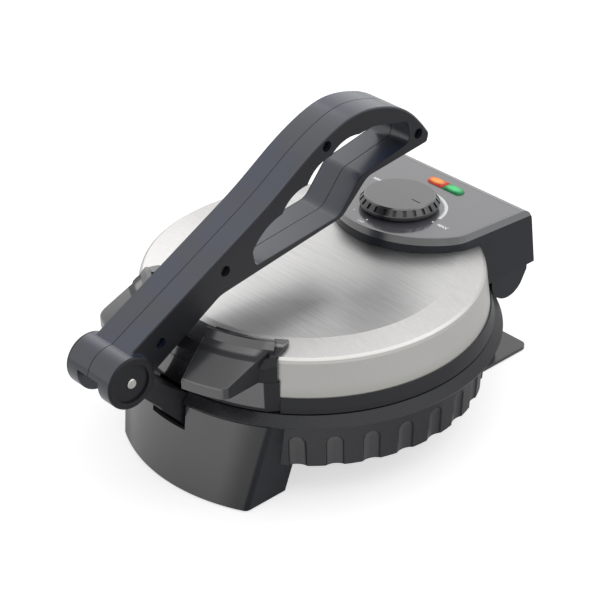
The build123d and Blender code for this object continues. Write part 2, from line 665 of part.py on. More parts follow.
def lid_rim():
    """Moulded ring under the steel, with the upper plate's ledge."""
    body = ring([
        (LID_RIM_R, LID_RIM_Z),
        (LID_RIM_R - 0.4, LID_RIM_Z + 3.0),
        (BAND_R + 0.9, BAND_Z),
        (BAND_R - STEEL_T - FIT, BAND_Z),
        (BAND_R - STEEL_T - FIT - 0.5, BAND_Z + 6.0),
        (BAND_R - STEEL_T - FIT - 2.8, BAND_Z + 6.0),
        (BAND_R - STEEL_T - FIT - 2.6, LID_SEAT_Z + LID_LEDGE_T),
        (LEDGE_IN_R, LID_SEAT_Z + LID_LEDGE_T),
        (LEDGE_IN_R, LID_SEAT_Z),
        (PLATE_R + FIT, LID_SEAT_Z),
        (PLATE_R + FIT, LID_RIM_Z),
    ])
    sector = front_wedge(GRIP_ANGLE, 140, LID_RIM_Z - 2, GRIP_SEAM_Z + 2)
    flare = ring([(GRIP_R, LID_RIM_Z - 1), (LID_RIM_R + 2, LID_RIM_Z - 1), (LID_RIM_R + 2, BAND_Z + 1),
                  (GRIP_R, BAND_Z + 1)])
    front = ring([(BAND_R - 2, LID_RIM_Z), (GRIP_R, LID_RIM_Z), (GRIP_R, GRIP_SEAM_Z - FIT),
                  (BAND_R + FIT, GRIP_SEAM_Z - FIT), (BAND_R + FIT, BAND_Z), (BAND_R - 2, BAND_Z)])
    body = (body - (flare & sector)) + (front & sector) - end_bevels()
    for x in (-LUG_X, LUG_X):
        half = LUG_T / 2 + SWING_GAP
        body -= rod(HINGE_Y, HINGE_Z, LUG_R + SWING_GAP, x - half, x + half)
    return body


def upper_plate():
    """Cast plate in the lid."""
    z = COOKING_Z + COOKING_GAP
    plate = post(0, 0, z, z + PLATE_T, PLATE_R)
    plate = fillet(plate.edges().sort_by(Axis.Z)[0], PLATE_EDGE)
    groove = Pos(0, 0, z + PLATE_T) * Torus(ELEMENT_R, ELEMENT_TUBE_R)
    return plate - groove


def upper_element():
    """Heating element on the upper plate's back."""
    return element(LID_SEAT_Z, False)


def upper_shield():
    """Heat shield over the upper element."""
    return dish(LID_SEAT_Z + LID_LEDGE_T, SHIELD_DROP, False)


def shoulder_z(radius):
    """Height of the steel shoulder at a radius."""
    return CREASE_Z + (EDGE_Z - CREASE_Z) * (radius - CREASE_R) / (EDGE_R - CREASE_R)


def end_bevels():
    """What is planed off each end of the grip's wall, so that it runs down to the steel."""
    inner = at_angle(GRIP_R + 0.05, BEVEL_ANGLE)
    outer = at_angle(BAND_R + 0.8, GRIP_ANGLE + 0.3)
    far = at_angle(2 * GRIP_R, GRIP_ANGLE + 0.3)
    near_far = at_angle(2 * GRIP_R, BEVEL_ANGLE)
    return mirrored(prism([inner, outer, far, near_far], LID_RIM_Z - 1, EDGE_Z + 2))


def channel():
    """Room for the press arm between the two wings."""
    right = list(CHANNEL)
    left = [(-x, y) for x, y in reversed(right)]
    return prism(right + left, GRIP_SEAM_Z - 5, RIDGE_Z + 10)


def arm_relief():
    """Lower bevel along the top of the wall, between the wings, for the arm to swing past."""
    (y_low, z_low), (y_high, z_high) = ARM_CLEAR
    slope = (z_high - z_low) / (y_high - y_low)
    half = CHANNEL[1][0]
    return across([
        (y_low - 4, z_low - 4 * slope),
        (y_high + 0.6, z_high + 0.6 * slope),
        (y_high + 0.6, z_high + 9),
        (y_low - 4, z_high + 9),
    ], -half, half)


def wing(inset):
    """The right wing's form, with every face but the lower one moved inwards by inset."""
    slope = (WING_TIP_Z - WING_Z) / (WING_TIP_R - WING_R)
    top = WING_Z - inset * 1.1
    far = WING_TIP_R + 10.0
    under = GRIP_SEAM_Z - (WING_TIP_H - (WING_TIP_Z - GRIP_SEAM_Z))
    body = ring([
        (GRIP_R - 1.0, GRIP_SEAM_Z),
        (GRIP_R + 2.0, GRIP_SEAM_Z),
        (WING_TIP_R - 3.0, under),
        (far, under),
        (far, top + slope * (far - WING_R)),
        (RIDGE_R - 1.0, top + slope * (RIDGE_R - 1.0 - WING_R)),
        (RIDGE_R - 1.0, shoulder_z(RIDGE_R)),
        (EDGE_R, EDGE_Z - 4.0),
    ])
    (x0, y0), (x1, y1), (x2, y2), (x3, y3) = CHANNEL
    side = WING_SIDE_X - inset
    flat = make_face(Polyline((x0 + inset, y0 + 20), (x1 + inset, y1), (x2 + inset, y2), (x3 + inset, y3),
                              (x3 + inset, y3 - 10), (side, y3 - 10), (side, y0 + 20), close=True))
    flat = flat & Circle(WING_TIP_R - inset)
    tip_y = -((WING_TIP_R - inset) ** 2 - side ** 2) ** 0.5
    flat = fillet(near(flat, (side, tip_y)), WING_CORNER - inset)
    return body & extrude(Plane.XY.offset(under - 1) * flat, RIDGE_Z)


def rounded_wing():
    """The right wing with soft edges all round its plate, apart from the one under the ridge."""
    body = wing(0.0)
    plate = max(body.faces(), key=lambda face: face.normal_at(face.center()).Z * face.area)
    free = [edge for edge in plate.edges() if hypot(edge.center().X, edge.center().Y) > RIDGE_R + 1]
    return fillet(free, WING_EDGE)


def end_rib():
    """Raised rib along the grip's right end, with a curved outer side."""
    form = ring([
        (COVER_IN_R, shoulder_z(COVER_IN_R) - 2.0),
        (COVER_IN_R, CAP_TOP_Z - 0.9),
        (COVER_IN_R + 0.9, CAP_TOP_Z),
        (CAP_FLAT_R, CAP_TOP_Z),
        (RIDGE_R + 1.0, CAP_TOP_Z - 2.8),
        (EDGE_R + 0.6, EDGE_Z + 1.2),
        (GRIP_R, GRIP_WALL_TOP),
        (BAND_R + FIT, GRIP_WALL_TOP - 3.0),
        (EDGE_R - 4.0, EDGE_Z - 4.0),
    ])
    inner = RIDGE_ANGLE - 1.2
    outline = Polyline((0, 0), CAP_OUTLINE[0]) + Spline(*CAP_OUTLINE) + Polyline(
        CAP_OUTLINE[-1], at_angle(GRIP_R + 6, GRIP_ANGLE), at_angle(GRIP_R + 6, inner), (0, 0))
    plan = extrude(Plane.XY.offset(BAND_Z) * make_face(outline), CAP_TOP_Z)
    plan &= front_wedge(60, 140, BAND_Z, CAP_TOP_Z + 4) - front_wedge(inner, 140, BAND_Z - 1, CAP_TOP_Z + 5)
    rib = form & plan
    top = rib.faces().filter_by(Axis.Z).sort_by(Axis.Z)[-1]
    sharp = [edge for edge in top.edges() if edge.center().X > top.center().X + 0.5]
    return fillet(sharp, 1.0) if sharp else rib


def lid_grip():
    """Moulded front grip: a low cover over the shoulder, a ridge and two broad sloping wings."""
    low = ring([
        (BAND_R + FIT, GRIP_SEAM_Z),
        (GRIP_R, GRIP_SEAM_Z),
        (GRIP_R, GRIP_WALL_TOP),
        (EDGE_R + 1.4, EDGE_Z + 0.2),
        (EDGE_R - 1.0, shoulder_z(EDGE_R) + COVER_T),
        (COVER_IN_R, shoulder_z(COVER_IN_R) + COVER_T),
        (COVER_IN_R, shoulder_z(COVER_IN_R) - 2.0),
        (EDGE_R - 4.0, EDGE_Z - 4.0),
    ])
    lip = ring([
        (COVER_IN_R, shoulder_z(COVER_IN_R)),
        (COVER_IN_R, shoulder_z(COVER_IN_R) + LIP_H - 0.5),
        (COVER_IN_R + 0.6, shoulder_z(COVER_IN_R) + LIP_H),
        (LIP_R - 0.6, shoulder_z(LIP_R) + LIP_H),
        (LIP_R + 0.6, shoulder_z(LIP_R) + 1.4),
        (RIDGE_IN_R, shoulder_z(RIDGE_IN_R) + 1.4),
        (RIDGE_IN_R + 1.6, RIDGE_Z - 1.2),
        (RIDGE_IN_R + 3.0, RIDGE_Z),
        (RIDGE_R - 0.8, RIDGE_Z),
        (RIDGE_R, RIDGE_Z - 0.8),
        (WING_R, WING_Z),
        (WING_R, EDGE_Z - 3.0),
    ])
    sector = front_wedge(RIDGE_ANGLE, 140, LID_RIM_Z, RIDGE_Z + 5)
    body = (lip & sector) + mirrored(rounded_wing() - wing(WING_SKIN)) - channel()
    body += low & front_wedge(GRIP_ANGLE - 0.5, 140, LID_RIM_Z, RIDGE_Z + 5)
    body += mirrored(end_rib())
    body -= end_bevels() + arm_relief()
    for angle in (-GRIP_SCREW_ANGLE, GRIP_SCREW_ANGLE):
        body += radial(angle, EDGE_R, GRIP_R + 7.0, GRIP_SCREW_Z, BOSS_R)
        body -= radial(angle, EDGE_R - 5, EDGE_R + SCREW_L + 1, GRIP_SCREW_Z, SCREW_R)
    return body - lid_room(FIT)


def radial(angle, r_from, r_to, z, radius):
    """A round bar that points outwards at an angle from the front."""
    stand = (Align.CENTER, Align.CENTER, Align.MIN)
    bar = Pos(0, 0, z) * Rot(90, 0, 0) * Cylinder(radius, r_to - r_from, align=stand)
    return Rot(0, 0, angle) * Pos(0, -r_from, 0) * bar


def grip_screws():
    """Two screws from inside the steel band into the grip."""
    seat = EDGE_R + 0.4 - STEEL_T
    screws = None
    for angle in (-GRIP_SCREW_ANGLE, GRIP_SCREW_ANGLE):
        screw = radial(angle, seat - SCREW_HEAD_H, seat, GRIP_SCREW_Z, SCREW_HEAD_R)
        screw += radial(angle, seat, seat + SCREW_L, GRIP_SCREW_Z, SCREW_R)
        screws = screw if screws is None else screws + screw
    return screws


def box_plan(inset):
    """Plan outline of the control box: rounded front, straight sides and back."""
    radius = BOX_FRONT_R - inset
    half = BOX_HALF_W - inset
    back = BOX_BACK - inset
    disc = Pos(0, BOX_FRONT_Y) * Circle(radius)
    block = Pos(0, (BOX_FRONT_Y + back) / 2) * Rectangle(2 * half, back - BOX_FRONT_Y)
    front = disc & (Pos(0, BOX_FRONT_Y - radius) * Rectangle(2 * half, 2 * radius))
    plan = front + block
    y = BOX_FRONT_Y - (radius ** 2 - half ** 2) ** 0.5
    return fillet(near(plan, (half, y)) + near(plan, (-half, y)), BOX_SHOULDER_ROUND)


def lid_room(gap, flare=0.0):
    """Everything inside the lid's outside surface, with a gap round it."""
    outline = cover_outline(gap)
    if flare:
        outline.append((BAND_R + flare + gap, BAND_Z))
    outline += [(BAND_R + flare + gap, LID_RIM_Z - 1.5), (0, LID_RIM_Z - 1.5)]
    return ring(outline)


def under_panel(drop):
    """Everything that lies below the fascia's plane by drop."""
    wide = 2 * BOX_HALF_W
    face = make_face(Polyline((0, 0), (2 * BOX_BACK, 0), (2 * BOX_BACK, panel_z(2 * BOX_BACK) - drop),
                              (0, panel_z(0) - drop), close=True))
    return extrude(Plane.YZ * face, wide, both=True)


def box_profile():
    """The control box in side view, with its rounded rear top edge."""
    corner = (BOX_BACK, panel_z(BOX_BACK))
    low = (BOX_BACK + (corner[1] - BOX_STEP_Z) * sin(radians(BOX_DRAFT)), BOX_STEP_Z - 1)
    face = make_face(Polyline((0, low[1]), low, corner, (0, panel_z(0)), close=True))
    face = fillet(near(face, corner), BOX_BACK_ROUND)
    return extrude(Plane.YZ * face, 2 * BOX_HALF_W, both=True)


def housing_block(inset):
    """The housing's outer form, which widens downwards, moved inwards by inset."""
    tall = PANEL_Z - BOX_STEP_Z + 8.0
    spread = tall * sin(radians(BOX_DRAFT)) / cos(radians(BOX_DRAFT))
    plan = Plane.XY.offset(BOX_STEP_Z) * box_plan(BOX_INSET + inset - spread)
    block = extrude(plan, tall, taper=BOX_DRAFT)
    return block


def knuckle():
    """The round hinge moulding below the housing, open at the top, without its recesses."""
    half = BOX_HALF_W + KNUCKLE_SPREAD
    body = rod(HINGE_Y, HINGE_Z, HINGE_HOUSE_R, -half, half)
    slant = radians(KNUCKLE_SLANT)
    body += across([
        (HINGE_Y, HINGE_Z),
        (HINGE_Y + HINGE_HOUSE_R * cos(slant), HINGE_Z - HINGE_HOUSE_R * sin(slant)),
        (HINGE_Y + KNUCKLE_BACK, HINGE_Z - 1.0),
        (HINGE_Y + KNUCKLE_BACK, BOX_STEP_Z + 1),
        (HINGE_Y, BOX_STEP_Z + 1),
    ], -half, half)
    inner = LUG_X - LUG_T / 2 - SWING_GAP - PIN_INTO_HOUSING - BOX_WALL
    hollow = rod(HINGE_Y, HINGE_Z, HINGE_HOUSE_R - BOX_WALL, -inner, inner)
    hollow -= post(0, 0, 0, LID_RIM_Z + CROWN_Z, LID_RIM_R + FIT + BOX_WALL)
    low = HINGE_Z - HINGE_HOUSE_R
    below = Pos(0, HINGE_Y, (low + BOX_STEP_Z - FIT) / 2) * Box(
        4 * half, 4 * HINGE_HOUSE_R, BOX_STEP_Z - FIT - low)
    return (body - hollow) & below


def hinge_recesses():
    """Slots for the rear foot's hinge lugs and bores for the pins."""
    room = None
    for side in (-1, 1):
        x = side * LUG_X
        gap = LUG_T / 2 + SWING_GAP
        deep = LUG_R + SWING_GAP
        slot = rod(HINGE_Y, HINGE_Z, deep, x - gap, x + gap)
        slot += Pos(x, HINGE_Y + HINGE_HOUSE_R / 2 - deep / 2 + 1, HINGE_Z - HINGE_HOUSE_R) * Box(
            2 * gap, HINGE_HOUSE_R + deep + 2, 2 * HINGE_HOUSE_R)
        long = gap + PIN_INTO_HOUSING
        slot += rod(HINGE_Y, HINGE_Z, HINGE_PIN_R, x - long, x + long)
        room = slot if room is None else room + slot
    return room


def inside_of_lid():
    """Room for the lid and for the base's rim, with the fitting gap."""
    rim = ring([(0, 50), (BASE_TOP_R - 2.0, 50), (BASE_TOP_R - 2.0, LID_RIM_Z), (0, LID_RIM_Z)])
    return lid_room(FIT, LID_RIM_R - BAND_R) + rim


def control_housing():
    """Hollow housing on the lid's back, below the glossy rim."""
    body = (housing_block(0.0) & under_panel(TOP_T)) & box_profile()
    hollow = housing_block(BOX_WALL)
    floor = Pos(0, HINGE_Y, BOX_STEP_Z + BOX_WALL / 2) * Box(4 * BOX_HALF_W, 4 * HINGE_HOUSE_R, BOX_WALL)
    body = body - (hollow - floor) - inside_of_lid() - hinge_recesses()
    return body


def hinge_housing():
    """Rounded moulding under the housing's back, which turns about the hinge pins."""
    return knuckle() - inside_of_lid() - hinge_recesses()


def control_top():
    """Glossy rim plate over the housing, recessed for the fascia."""
    plan = box_plan(0.0)
    body = extrude(Plane.XY.offset(BOX_STEP_Z) * plan, 70)
    body = (body & box_profile()) - under_panel(TOP_T)
    inner = extrude(Plane.XY.offset(BOX_STEP_Z) * box_plan(FASCIA_EDGE), 70)
    inner -= Pos(0, PANEL_BACK + 50, 0) * Box(300, 100, 400)
    body -= inner - under_panel(FASCIA_T)
    for x in lens_centres():
        body -= lens_form(x, 0.15, 10.0)
    body -= extrude(panel_plane(TOP_T + 1) * Circle(SHAFT_R + 1.2), 20)
    return body


def lens_centres():
    """Middle of each lamp lens across the fascia."""
    return LAMP_X - LENS_L / 2 - 0.3, LAMP_X + LENS_L / 2 + 0.3


def lens_form(x, gap, depth):
    """A lens with one rounded and one straight end, grown by gap, reaching depth below the fascia."""
    outward = -1 if x < LAMP_X else 1
    half = LENS_W / 2
    plan = Pos(outward * (LENS_L / 2 - half), 0) * Circle(half + gap)
    plan += Pos(-outward * half / 2, 0) * Rectangle(LENS_L - half + 2 * gap, LENS_W + 2 * gap)
    return extrude(panel_plane(depth, x, LAMP_Y) * plan, depth + LENS_PROUD)


def lens(index):
    """One lamp lens with a softened top."""
    body = lens_form(lens_centres()[index], 0.0, LENS_DEPTH)
    normal = Axis((0, 0, 0), tuple(panel_plane(0.0).z_dir))
    top = body.faces().sort_by(normal)[-1]
    return fillet(top.edges(), LENS_ROUND)


def heating_lens():
    """Orange lens."""
    return lens(0)


def ready_lens():
    """Green lens."""
    return lens(1)


def lamp(index):
    """Small neon lamp under a lens."""
    tube = extrude(panel_plane(LENS_DEPTH + LAMP_TUBE_L, lens_centres()[index], LAMP_Y) * Circle(LAMP_TUBE_R),
                   LAMP_TUBE_L - 0.05)
    return tube


def heating_lamp():
    """Neon lamp of the orange lens."""
    return lamp(0)


def ready_lamp():
    """Neon lamp of the green lens."""
    return lamp(1)


def control_fascia():
    """Satin fascia, let into the glossy rim."""
    body = extrude(Plane.XY.offset(BOX_STEP_Z) * box_plan(FASCIA_EDGE + 0.1), 70)
    body -= Pos(0, PANEL_BACK + 50 - 0.1, 0) * Box(300, 100, 400)
    body = (body & under_panel(0.0)) - under_panel(FASCIA_T)
    for x in lens_centres():
        body -= lens_form(x, 0.15, 3.0)
    return body - extrude(panel_plane(5.0) * Circle(SHAFT_R + 1.0), 10)


def thermostat():
    """Thermostat body under the fascia, with its threaded nose."""
    width, depth, height = THERMOSTAT
    body = extrude(panel_plane(TOP_T + height) * Rectangle(width, depth), height)
    bore = extrude(panel_plane(TOP_T + height - 1.0) * Circle(SHAFT_R + RUNNING_FIT), height + 10)
    return body - bore


def dial_knob():
    """Control knob: widest near its foot, slots round its slope, a pointer groove in the flat top."""
    h = DIAL_H
    edge = h - 0.9
    shell = revolve(Plane.XZ * make_face(Polyline(
        (0, 0), (DIAL_FOOT_R, 0), (DIAL_FOOT_R + 1.4, 1.2),
        (DIAL_R, DIAL_WIDE_H), (DIAL_R - 0.2, DIAL_WIDE_H + 0.7),
        (DIAL_TOP_R, edge), (DIAL_TOP_R - 0.9, h), (0, h), close=True)), Axis.Z)
    stand = (Align.CENTER, Align.CENTER, Align.MIN)
    body = shell - Cylinder(DIAL_FOOT_R - DIAL_SKIN, h - DIAL_SKIN, align=stand)
    rise = edge - DIAL_WIDE_H - 0.7
    slant = degrees(atan2(DIAL_R - 0.2 - DIAL_TOP_R, rise))
    slot = Pos((DIAL_R + DIAL_TOP_R) / 2, 0, DIAL_WIDE_H + 0.7 + rise / 2) * Rot(0, -slant, 0) * Box(
        2 * DIAL_SLOT_DEEP, DIAL_SLOT_W, rise * 1.14)
    for index in range(DIAL_SLOTS):
        body -= Rot(0, 0, (index + 0.5) * 360.0 / DIAL_SLOTS) * slot
    body += Cylinder(SHAFT_R + 3.0, h - 1.0, align=(Align.CENTER, Align.CENTER, Align.MIN))
    body -= Cylinder(SHAFT_R, SHAFT_INTO_DIAL + 0.2, align=(Align.CENTER, Align.CENTER, Align.MIN))
    body -= Pos(DIAL_MARK_R + DIAL_MARK_L / 2, 0, h) * Box(DIAL_MARK_L, 0.9, 0.8)
    return panel_plane(-DIAL_FLOAT).location * body


def dial_shaft():
    """Thermostat spindle with a flat, which turns with the knob."""
    long = TOP_T + THERMOSTAT[2] - 2.0
    shaft = Pos(0, 0, -long - DIAL_FLOAT) * Cylinder(
        SHAFT_R, long + DIAL_FLOAT + SHAFT_INTO_DIAL, align=(Align.CENTER, Align.CENTER, Align.MIN))
    middle = Pos(SHAFT_R + SHAFT_FLAT, 0, SHAFT_INTO_DIAL / 2 + 0.3)
    flat = middle * Box(2 * SHAFT_R, 4 * SHAFT_R, SHAFT_INTO_DIAL)
    return panel_plane(-DIAL_FLOAT).location * (shaft - flat)


# ---------------------------------------------------------------- press arm
def finger_cusps():
    """Points of the ridges between the finger grooves."""
    y, z = FINGER_START
    cusps = [(y, z)]
    for angle in FINGER_ANGLES:
        y += FINGER_PITCH * cos(radians(angle))
        z += FINGER_PITCH * sin(radians(angle))
        cusps.append((y, z))
    return cusps


def loop_face():
    """Finger opening in side view: a plain lower edge and scalloped finger grooves above."""
    cusps = finger_cusps()
    heel = Line(LOOP_HEEL, LOOP_HEEL_LOW)
    low = Polyline(LOOP_HEEL_LOW, LOOP_STEP_LOW, LOOP_STEP_HIGH, LOOP_TOE_LOW, LOOP_TOE_HIGH, LOOP_BROW)
    grooves = [SagittaArc(LOOP_HEEL, cusps[0], FINGER_SAG)]
    for first, second in zip(cusps[:-1], cusps[1:]):
        grooves.append(SagittaArc(first, second, FINGER_SAG))
    last = Line(cusps[-1], LOOP_BROW)
    face = make_face([heel, low, *grooves, last])
    return face


def arm_face():
    """Outline of the arm in side view, without its barrel."""
    back = Spline(ARM_BACK_START, *ARM_BACK_POINTS, ARM_NOSE)
    front = Polyline(ARM_NOSE, ARM_CHIN, ARM_STEP_HIGH, ARM_STEP_LOW, ARM_BEND, ARM_UNDER_START,
                     ARM_BACK_START)
    return make_face([back, front])


def near(face, point, reach=0.5):
    """The vertices of a face that lie at a point."""
    return [v for v in face.vertices() if hypot(v.X - point[0], v.Y - point[1]) < reach]


def slot_sector():
    """The part of the barrel wall that the bracket sweeps through, as (y, z) points."""
    half = degrees(asin(TONGUE_HALF_T / (BARREL_R - BARREL_WALL))) + SLOT_SPARE
    first = TONGUE_ANGLE + half
    last = TONGUE_ANGLE - ARM_TRAVEL - half
    points = [(PIVOT_Y, PIVOT_Z)]
    steps = 12
    for index in range(steps + 1):
        angle = radians(first + (last - first) * index / steps)
        points.append((PIVOT_Y + 1.3 * BARREL_R * cos(angle), PIVOT_Z + 1.3 * BARREL_R * sin(angle)))
    return points


def arm_screw_places():
    """Side positions of the arm's four screws, as (y, z)."""
    return (-144.4, 120.4), (-89.6, 150.0), (-0.6, 206.4), (82.4, 186.0)


def arm_half(right):
    """One moulded half of the arm, with half of the barrel and of the finger loop."""
    face = arm_face()
    face = fillet(near(face, ARM_NOSE), 3.0)
    face = fillet(near(face, ARM_CHIN), 2.5)
    face = fillet(near(face, ARM_STEP_HIGH), 14.0)
    face = fillet(near(face, ARM_STEP_LOW), 12.0)
    face = fillet(near(face, ARM_BEND), 22.0)
    loop = loop_face()
    loop = fillet(near(loop, LOOP_HEEL), 3.5)
    loop = fillet(near(loop, LOOP_HEEL_LOW), 4.0)
    loop = fillet(near(loop, LOOP_STEP_LOW), 12.0)
    loop = fillet(near(loop, LOOP_STEP_HIGH), 10.0)
    loop = fillet(near(loop, LOOP_TOE_LOW), 6.0)
    loop = fillet(near(loop, LOOP_TOE_HIGH), 6.0)
    beam = extrude(Plane.YZ * face, ARM_HALF_W)
    beam = chamfer(beam.faces().sort_by(Axis.X)[-1].edges(), 1.3)
    hole = extrude(Plane.YZ * loop, ARM_HALF_W)
    beam -= hole
    barrel = rod(PIVOT_Y, PIVOT_Z, BARREL_R, 0, BARREL_HALF_L)
    barrel = fillet(barrel.edges().sort_by(Axis.X)[-1], 1.6)
    body = beam + barrel
    body = chamfer(body.faces().sort_by(Axis.X)[0].edges(), SEAM_EDGE)
    body -= rod(PIVOT_Y, PIVOT_Z, END_RECESS_R, BARREL_HALF_L - END_RECESS, BARREL_HALF_L + 1)
    body -= rod(PIVOT_Y, PIVOT_Z, BARREL_R - BARREL_WALL, -1, SLOT_HALF_W)
    body -= across(slot_sector(), -1, SLOT_HALF_W)
    body -= rod(PIVOT_Y, PIVOT_Z, PIVOT_PIN_R, -1, BARREL_HALF_L + 1)
    for y, z in arm_screw_places():
        body -= rod(y, z, ARM_SCREW_R, ARM_HALF_W - ARM_SCREW_DEPTH, ARM_HALF_W + 1)
        body -= rod(y, z, SCREW_R, -1, ARM_HALF_W)
    body = body.solids().sort_by(SortBy.VOLUME)[-1]
    return body if right else mirror(body, about=Plane.YZ)


def arm_right():
    """Right half of the arm, the side with the screw recesses."""
    return arm_half(True)


def arm_left():
    """Left half of the arm."""
    face_half = arm_half(False)
    for y, z in arm_screw_places():
        face_half += rod(y, z, ARM_SCREW_R + 0.01, -ARM_HALF_W + 1.0, -ARM_HALF_W + ARM_SCREW_DEPTH + 0.01)
    return face_half


def arm_screws():
    """Four screws, sunk in the right half and driven into the left one."""
    screws = None
    for y, z in arm_screw_places():
        seat = ARM_HALF_W - ARM_SCREW_DEPTH
        screw = rod(y, z, SCREW_HEAD_R, seat, seat + SCREW_HEAD_H)
        screw += rod(y, z, SCREW_R - 0.05, -ARM_HALF_W + ARM_SCREW_DEPTH + 2, seat)
        screw -= Pos(seat + SCREW_HEAD_H, y, z) * Box(1.2, 3.6, 0.8)
        screw -= Pos(seat + SCREW_HEAD_H, y, z) * Box(1.2, 0.8, 3.6)
        screws = screw if screws is None else screws + screw
    return screws


def pivot_pin():
    """Steel pin through the barrel and the bracket's eye."""
    reach = BARREL_HALF_L - END_RECESS + PIN_HEAD_PROUD + 1.2
    pin = rod(PIVOT_Y, PIVOT_Z, PIVOT_PIN_R, -reach, reach)
    return chamfer(pin.edges().group_by(Axis.X)[0] + pin.edges().group_by(Axis.X)[-1], 0.5)


PIECES = {
    "base_shell": base_shell,
    "lower_plate": lower_plate,
    "lower_element": lower_element,
    "lower_shield": lower_shield,
    "bottom_cover": bottom_cover,
    "base_screws": base_screws,
    "front_foot": front_foot,
    "rear_foot": rear_foot,
    "cord_bush": cord_bush,
    "rubber_feet": rubber_feet,
    "hinge_pins": hinge_pins,
    "pivot_bracket": pivot_bracket,
    "bracket_screws": bracket_screws,
    "lid_cover": lid_cover,
    "lid_rim": lid_rim,
    "upper_plate": upper_plate,
    "upper_element": upper_element,
    "upper_shield": upper_shield,
    "lid_grip": lid_grip,
    "grip_screws": grip_screws,
    "control_housing": control_housing,
    "hinge_housing": hinge_housing,
    "control_top": control_top,
    "control_fascia": control_fascia,
    "heating_lens": heating_lens,
    "ready_lens": ready_lens,
    "heating_lamp": heating_lamp,
    "ready_lamp": ready_lamp,
    "thermostat": thermostat,
    "dial_knob": dial_knob,
    "dial_shaft": dial_shaft,
    "arm_right": arm_right,
    "arm_left": arm_left,
    "arm_screws": arm_screws,
    "pivot_pin": pivot_pin,
}


def main():
    """Build every piece and write one STEP file for each."""
    os.makedirs("parts", exist_ok=True)
    for name, build in PIECES.items():
        piece = Pos(0, -MIDDLE_Y, 0) * build()
        export_step(piece, os.path.join("parts", name + ".step"))


main()
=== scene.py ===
"""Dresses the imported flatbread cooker: finishes for every part, the printed heat scale, stage and camera.

Metres. X runs across the cooker, +Y to the rear hinge and +Z up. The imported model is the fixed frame:
its parts keep their shape and place, and each piece made here sits on the part that carries it.
"""

import json
from math import radians

import bpy
from mathutils import Matrix, Vector


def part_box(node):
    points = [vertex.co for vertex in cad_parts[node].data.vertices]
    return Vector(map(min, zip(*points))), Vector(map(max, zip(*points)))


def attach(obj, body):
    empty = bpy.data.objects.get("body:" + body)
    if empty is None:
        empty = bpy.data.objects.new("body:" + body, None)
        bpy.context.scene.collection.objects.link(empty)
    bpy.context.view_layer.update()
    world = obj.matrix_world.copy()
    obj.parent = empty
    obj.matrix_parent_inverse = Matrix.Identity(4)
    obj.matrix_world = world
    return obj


bl_info = {
    "name": "Flatbread Cooker Dresser",
    "version": (1, 0, 0),
    "blender": (4, 5, 0),
    "location": "View3D > Sidebar > Cooker",
    "description": "Finishes, printed heat scale, stage and camera for the flatbread cooker",
    "category": "Object",
}

MM = 0.001
WHITE = (1.0, 1.0, 1.0, 1.0)

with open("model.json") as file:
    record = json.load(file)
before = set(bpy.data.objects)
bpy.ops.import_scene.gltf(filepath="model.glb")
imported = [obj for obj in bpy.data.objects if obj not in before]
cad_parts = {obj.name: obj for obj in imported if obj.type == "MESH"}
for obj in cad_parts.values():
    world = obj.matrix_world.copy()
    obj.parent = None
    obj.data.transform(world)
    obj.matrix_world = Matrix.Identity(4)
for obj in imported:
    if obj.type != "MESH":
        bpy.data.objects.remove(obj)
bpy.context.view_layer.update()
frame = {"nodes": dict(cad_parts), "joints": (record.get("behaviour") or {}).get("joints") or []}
JOINTS = {joint["name"]: joint for joint in frame["joints"]}

# Places on the parts that the finishes follow. Radii on the lid and the base are from the lid's upright
# axis, at x = 0 and y = LID_Y; those on the arm and the dial are from the axes of their own joints.
LID_Y = (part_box("lid_cover")[0].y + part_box("lid_cover")[1].y) / 2
FRONT_Y = LID_Y - 65 * MM        # what lies before it counts as the front
MIDDLE_Y = LID_Y - 40 * MM       # about it the base's wear fades towards the back

# Steel cover: dome, shoulder, rolled edge and upright wall
CREASE_R = 96.3 * MM             # between dome and shoulder
COVER_ROLL_R = 115.1 * MM        # between shoulder and rolled edge
COVER_WALL_Z = 109.0 * MM        # top of the wall
COVER_FOOT_Z = 88.4 * MM         # below it the wall carries a painted dark reflection of the black rim

# Upright front wall, shared by the lid's rim and its grip above it
FRONT_WALL_R = 123.2 * MM
RIM_WALL_FOOT_Z = 75.4 * MM
RIM_WALL_TOP_Z = 94.6 * MM
RIM_WALL_HALF = 67.0 * MM
GRIP_WALL_FOOT_Z = 95.4 * MM
GRIP_WALL_TOP_Z = 104.6 * MM
GRIP_WALL_HALF = 64.6 * MM

# Grip: two wings, the ridge along its top and a hook at each end of the ridge
WING_R = 125.0 * MM              # root of the wings
WING_TIP_R = 146.8 * MM
WING_HALF = 64.3 * MM
RIDGE_Z = 112.5 * MM
RIDGE_HALF = 61.0 * MM
HOOK_Z = 115.0 * MM

# Base: the skirt, which widens with height from its foot, and its flutes
SKIRT_R = 116.0 * MM
SKIRT_FOOT_Z = 27.4 * MM
SKIRT_TOP_Z = 63.0 * MM
SKIRT_DRAFT = 0.0707
FLUTE_LIP = 0.5 * MM             # how far each flute's painted shade line, floor and deepest place are sunk
FLUTE_FLOOR = 1.0 * MM
FLUTE_DEEPEST = 2.4 * MM
FOOT_HALF = 62.0 * MM            # front foot: half its width, and how its sides lean out with height
FOOT_LEAN = 0.155

# Arm
BARREL_R = 18.9 * MM
ARM_HALF = 20.6 * MM             # half the width of the barrel
ARM_FACE_HALF = 17.0 * MM        # and of the polished back
SEAM_HALF = 0.3 * MM

# Dial: its face, the cone that carries its ribs and the groove of its pointer
KNOB_FACE_R = 24.8 * MM
CONE_R = 28.0 * MM               # at the height CONE_Z
CONE_Z = 4.7 * MM
CONE_DRAFT = 0.816
SLOT_Z = 6.2 * MM                # middle of the slots between the ribs
SLOT_HALF = 2.4 * MM
POINTER_Z = 9.05 * MM
POINTER_R = 23.2 * MM

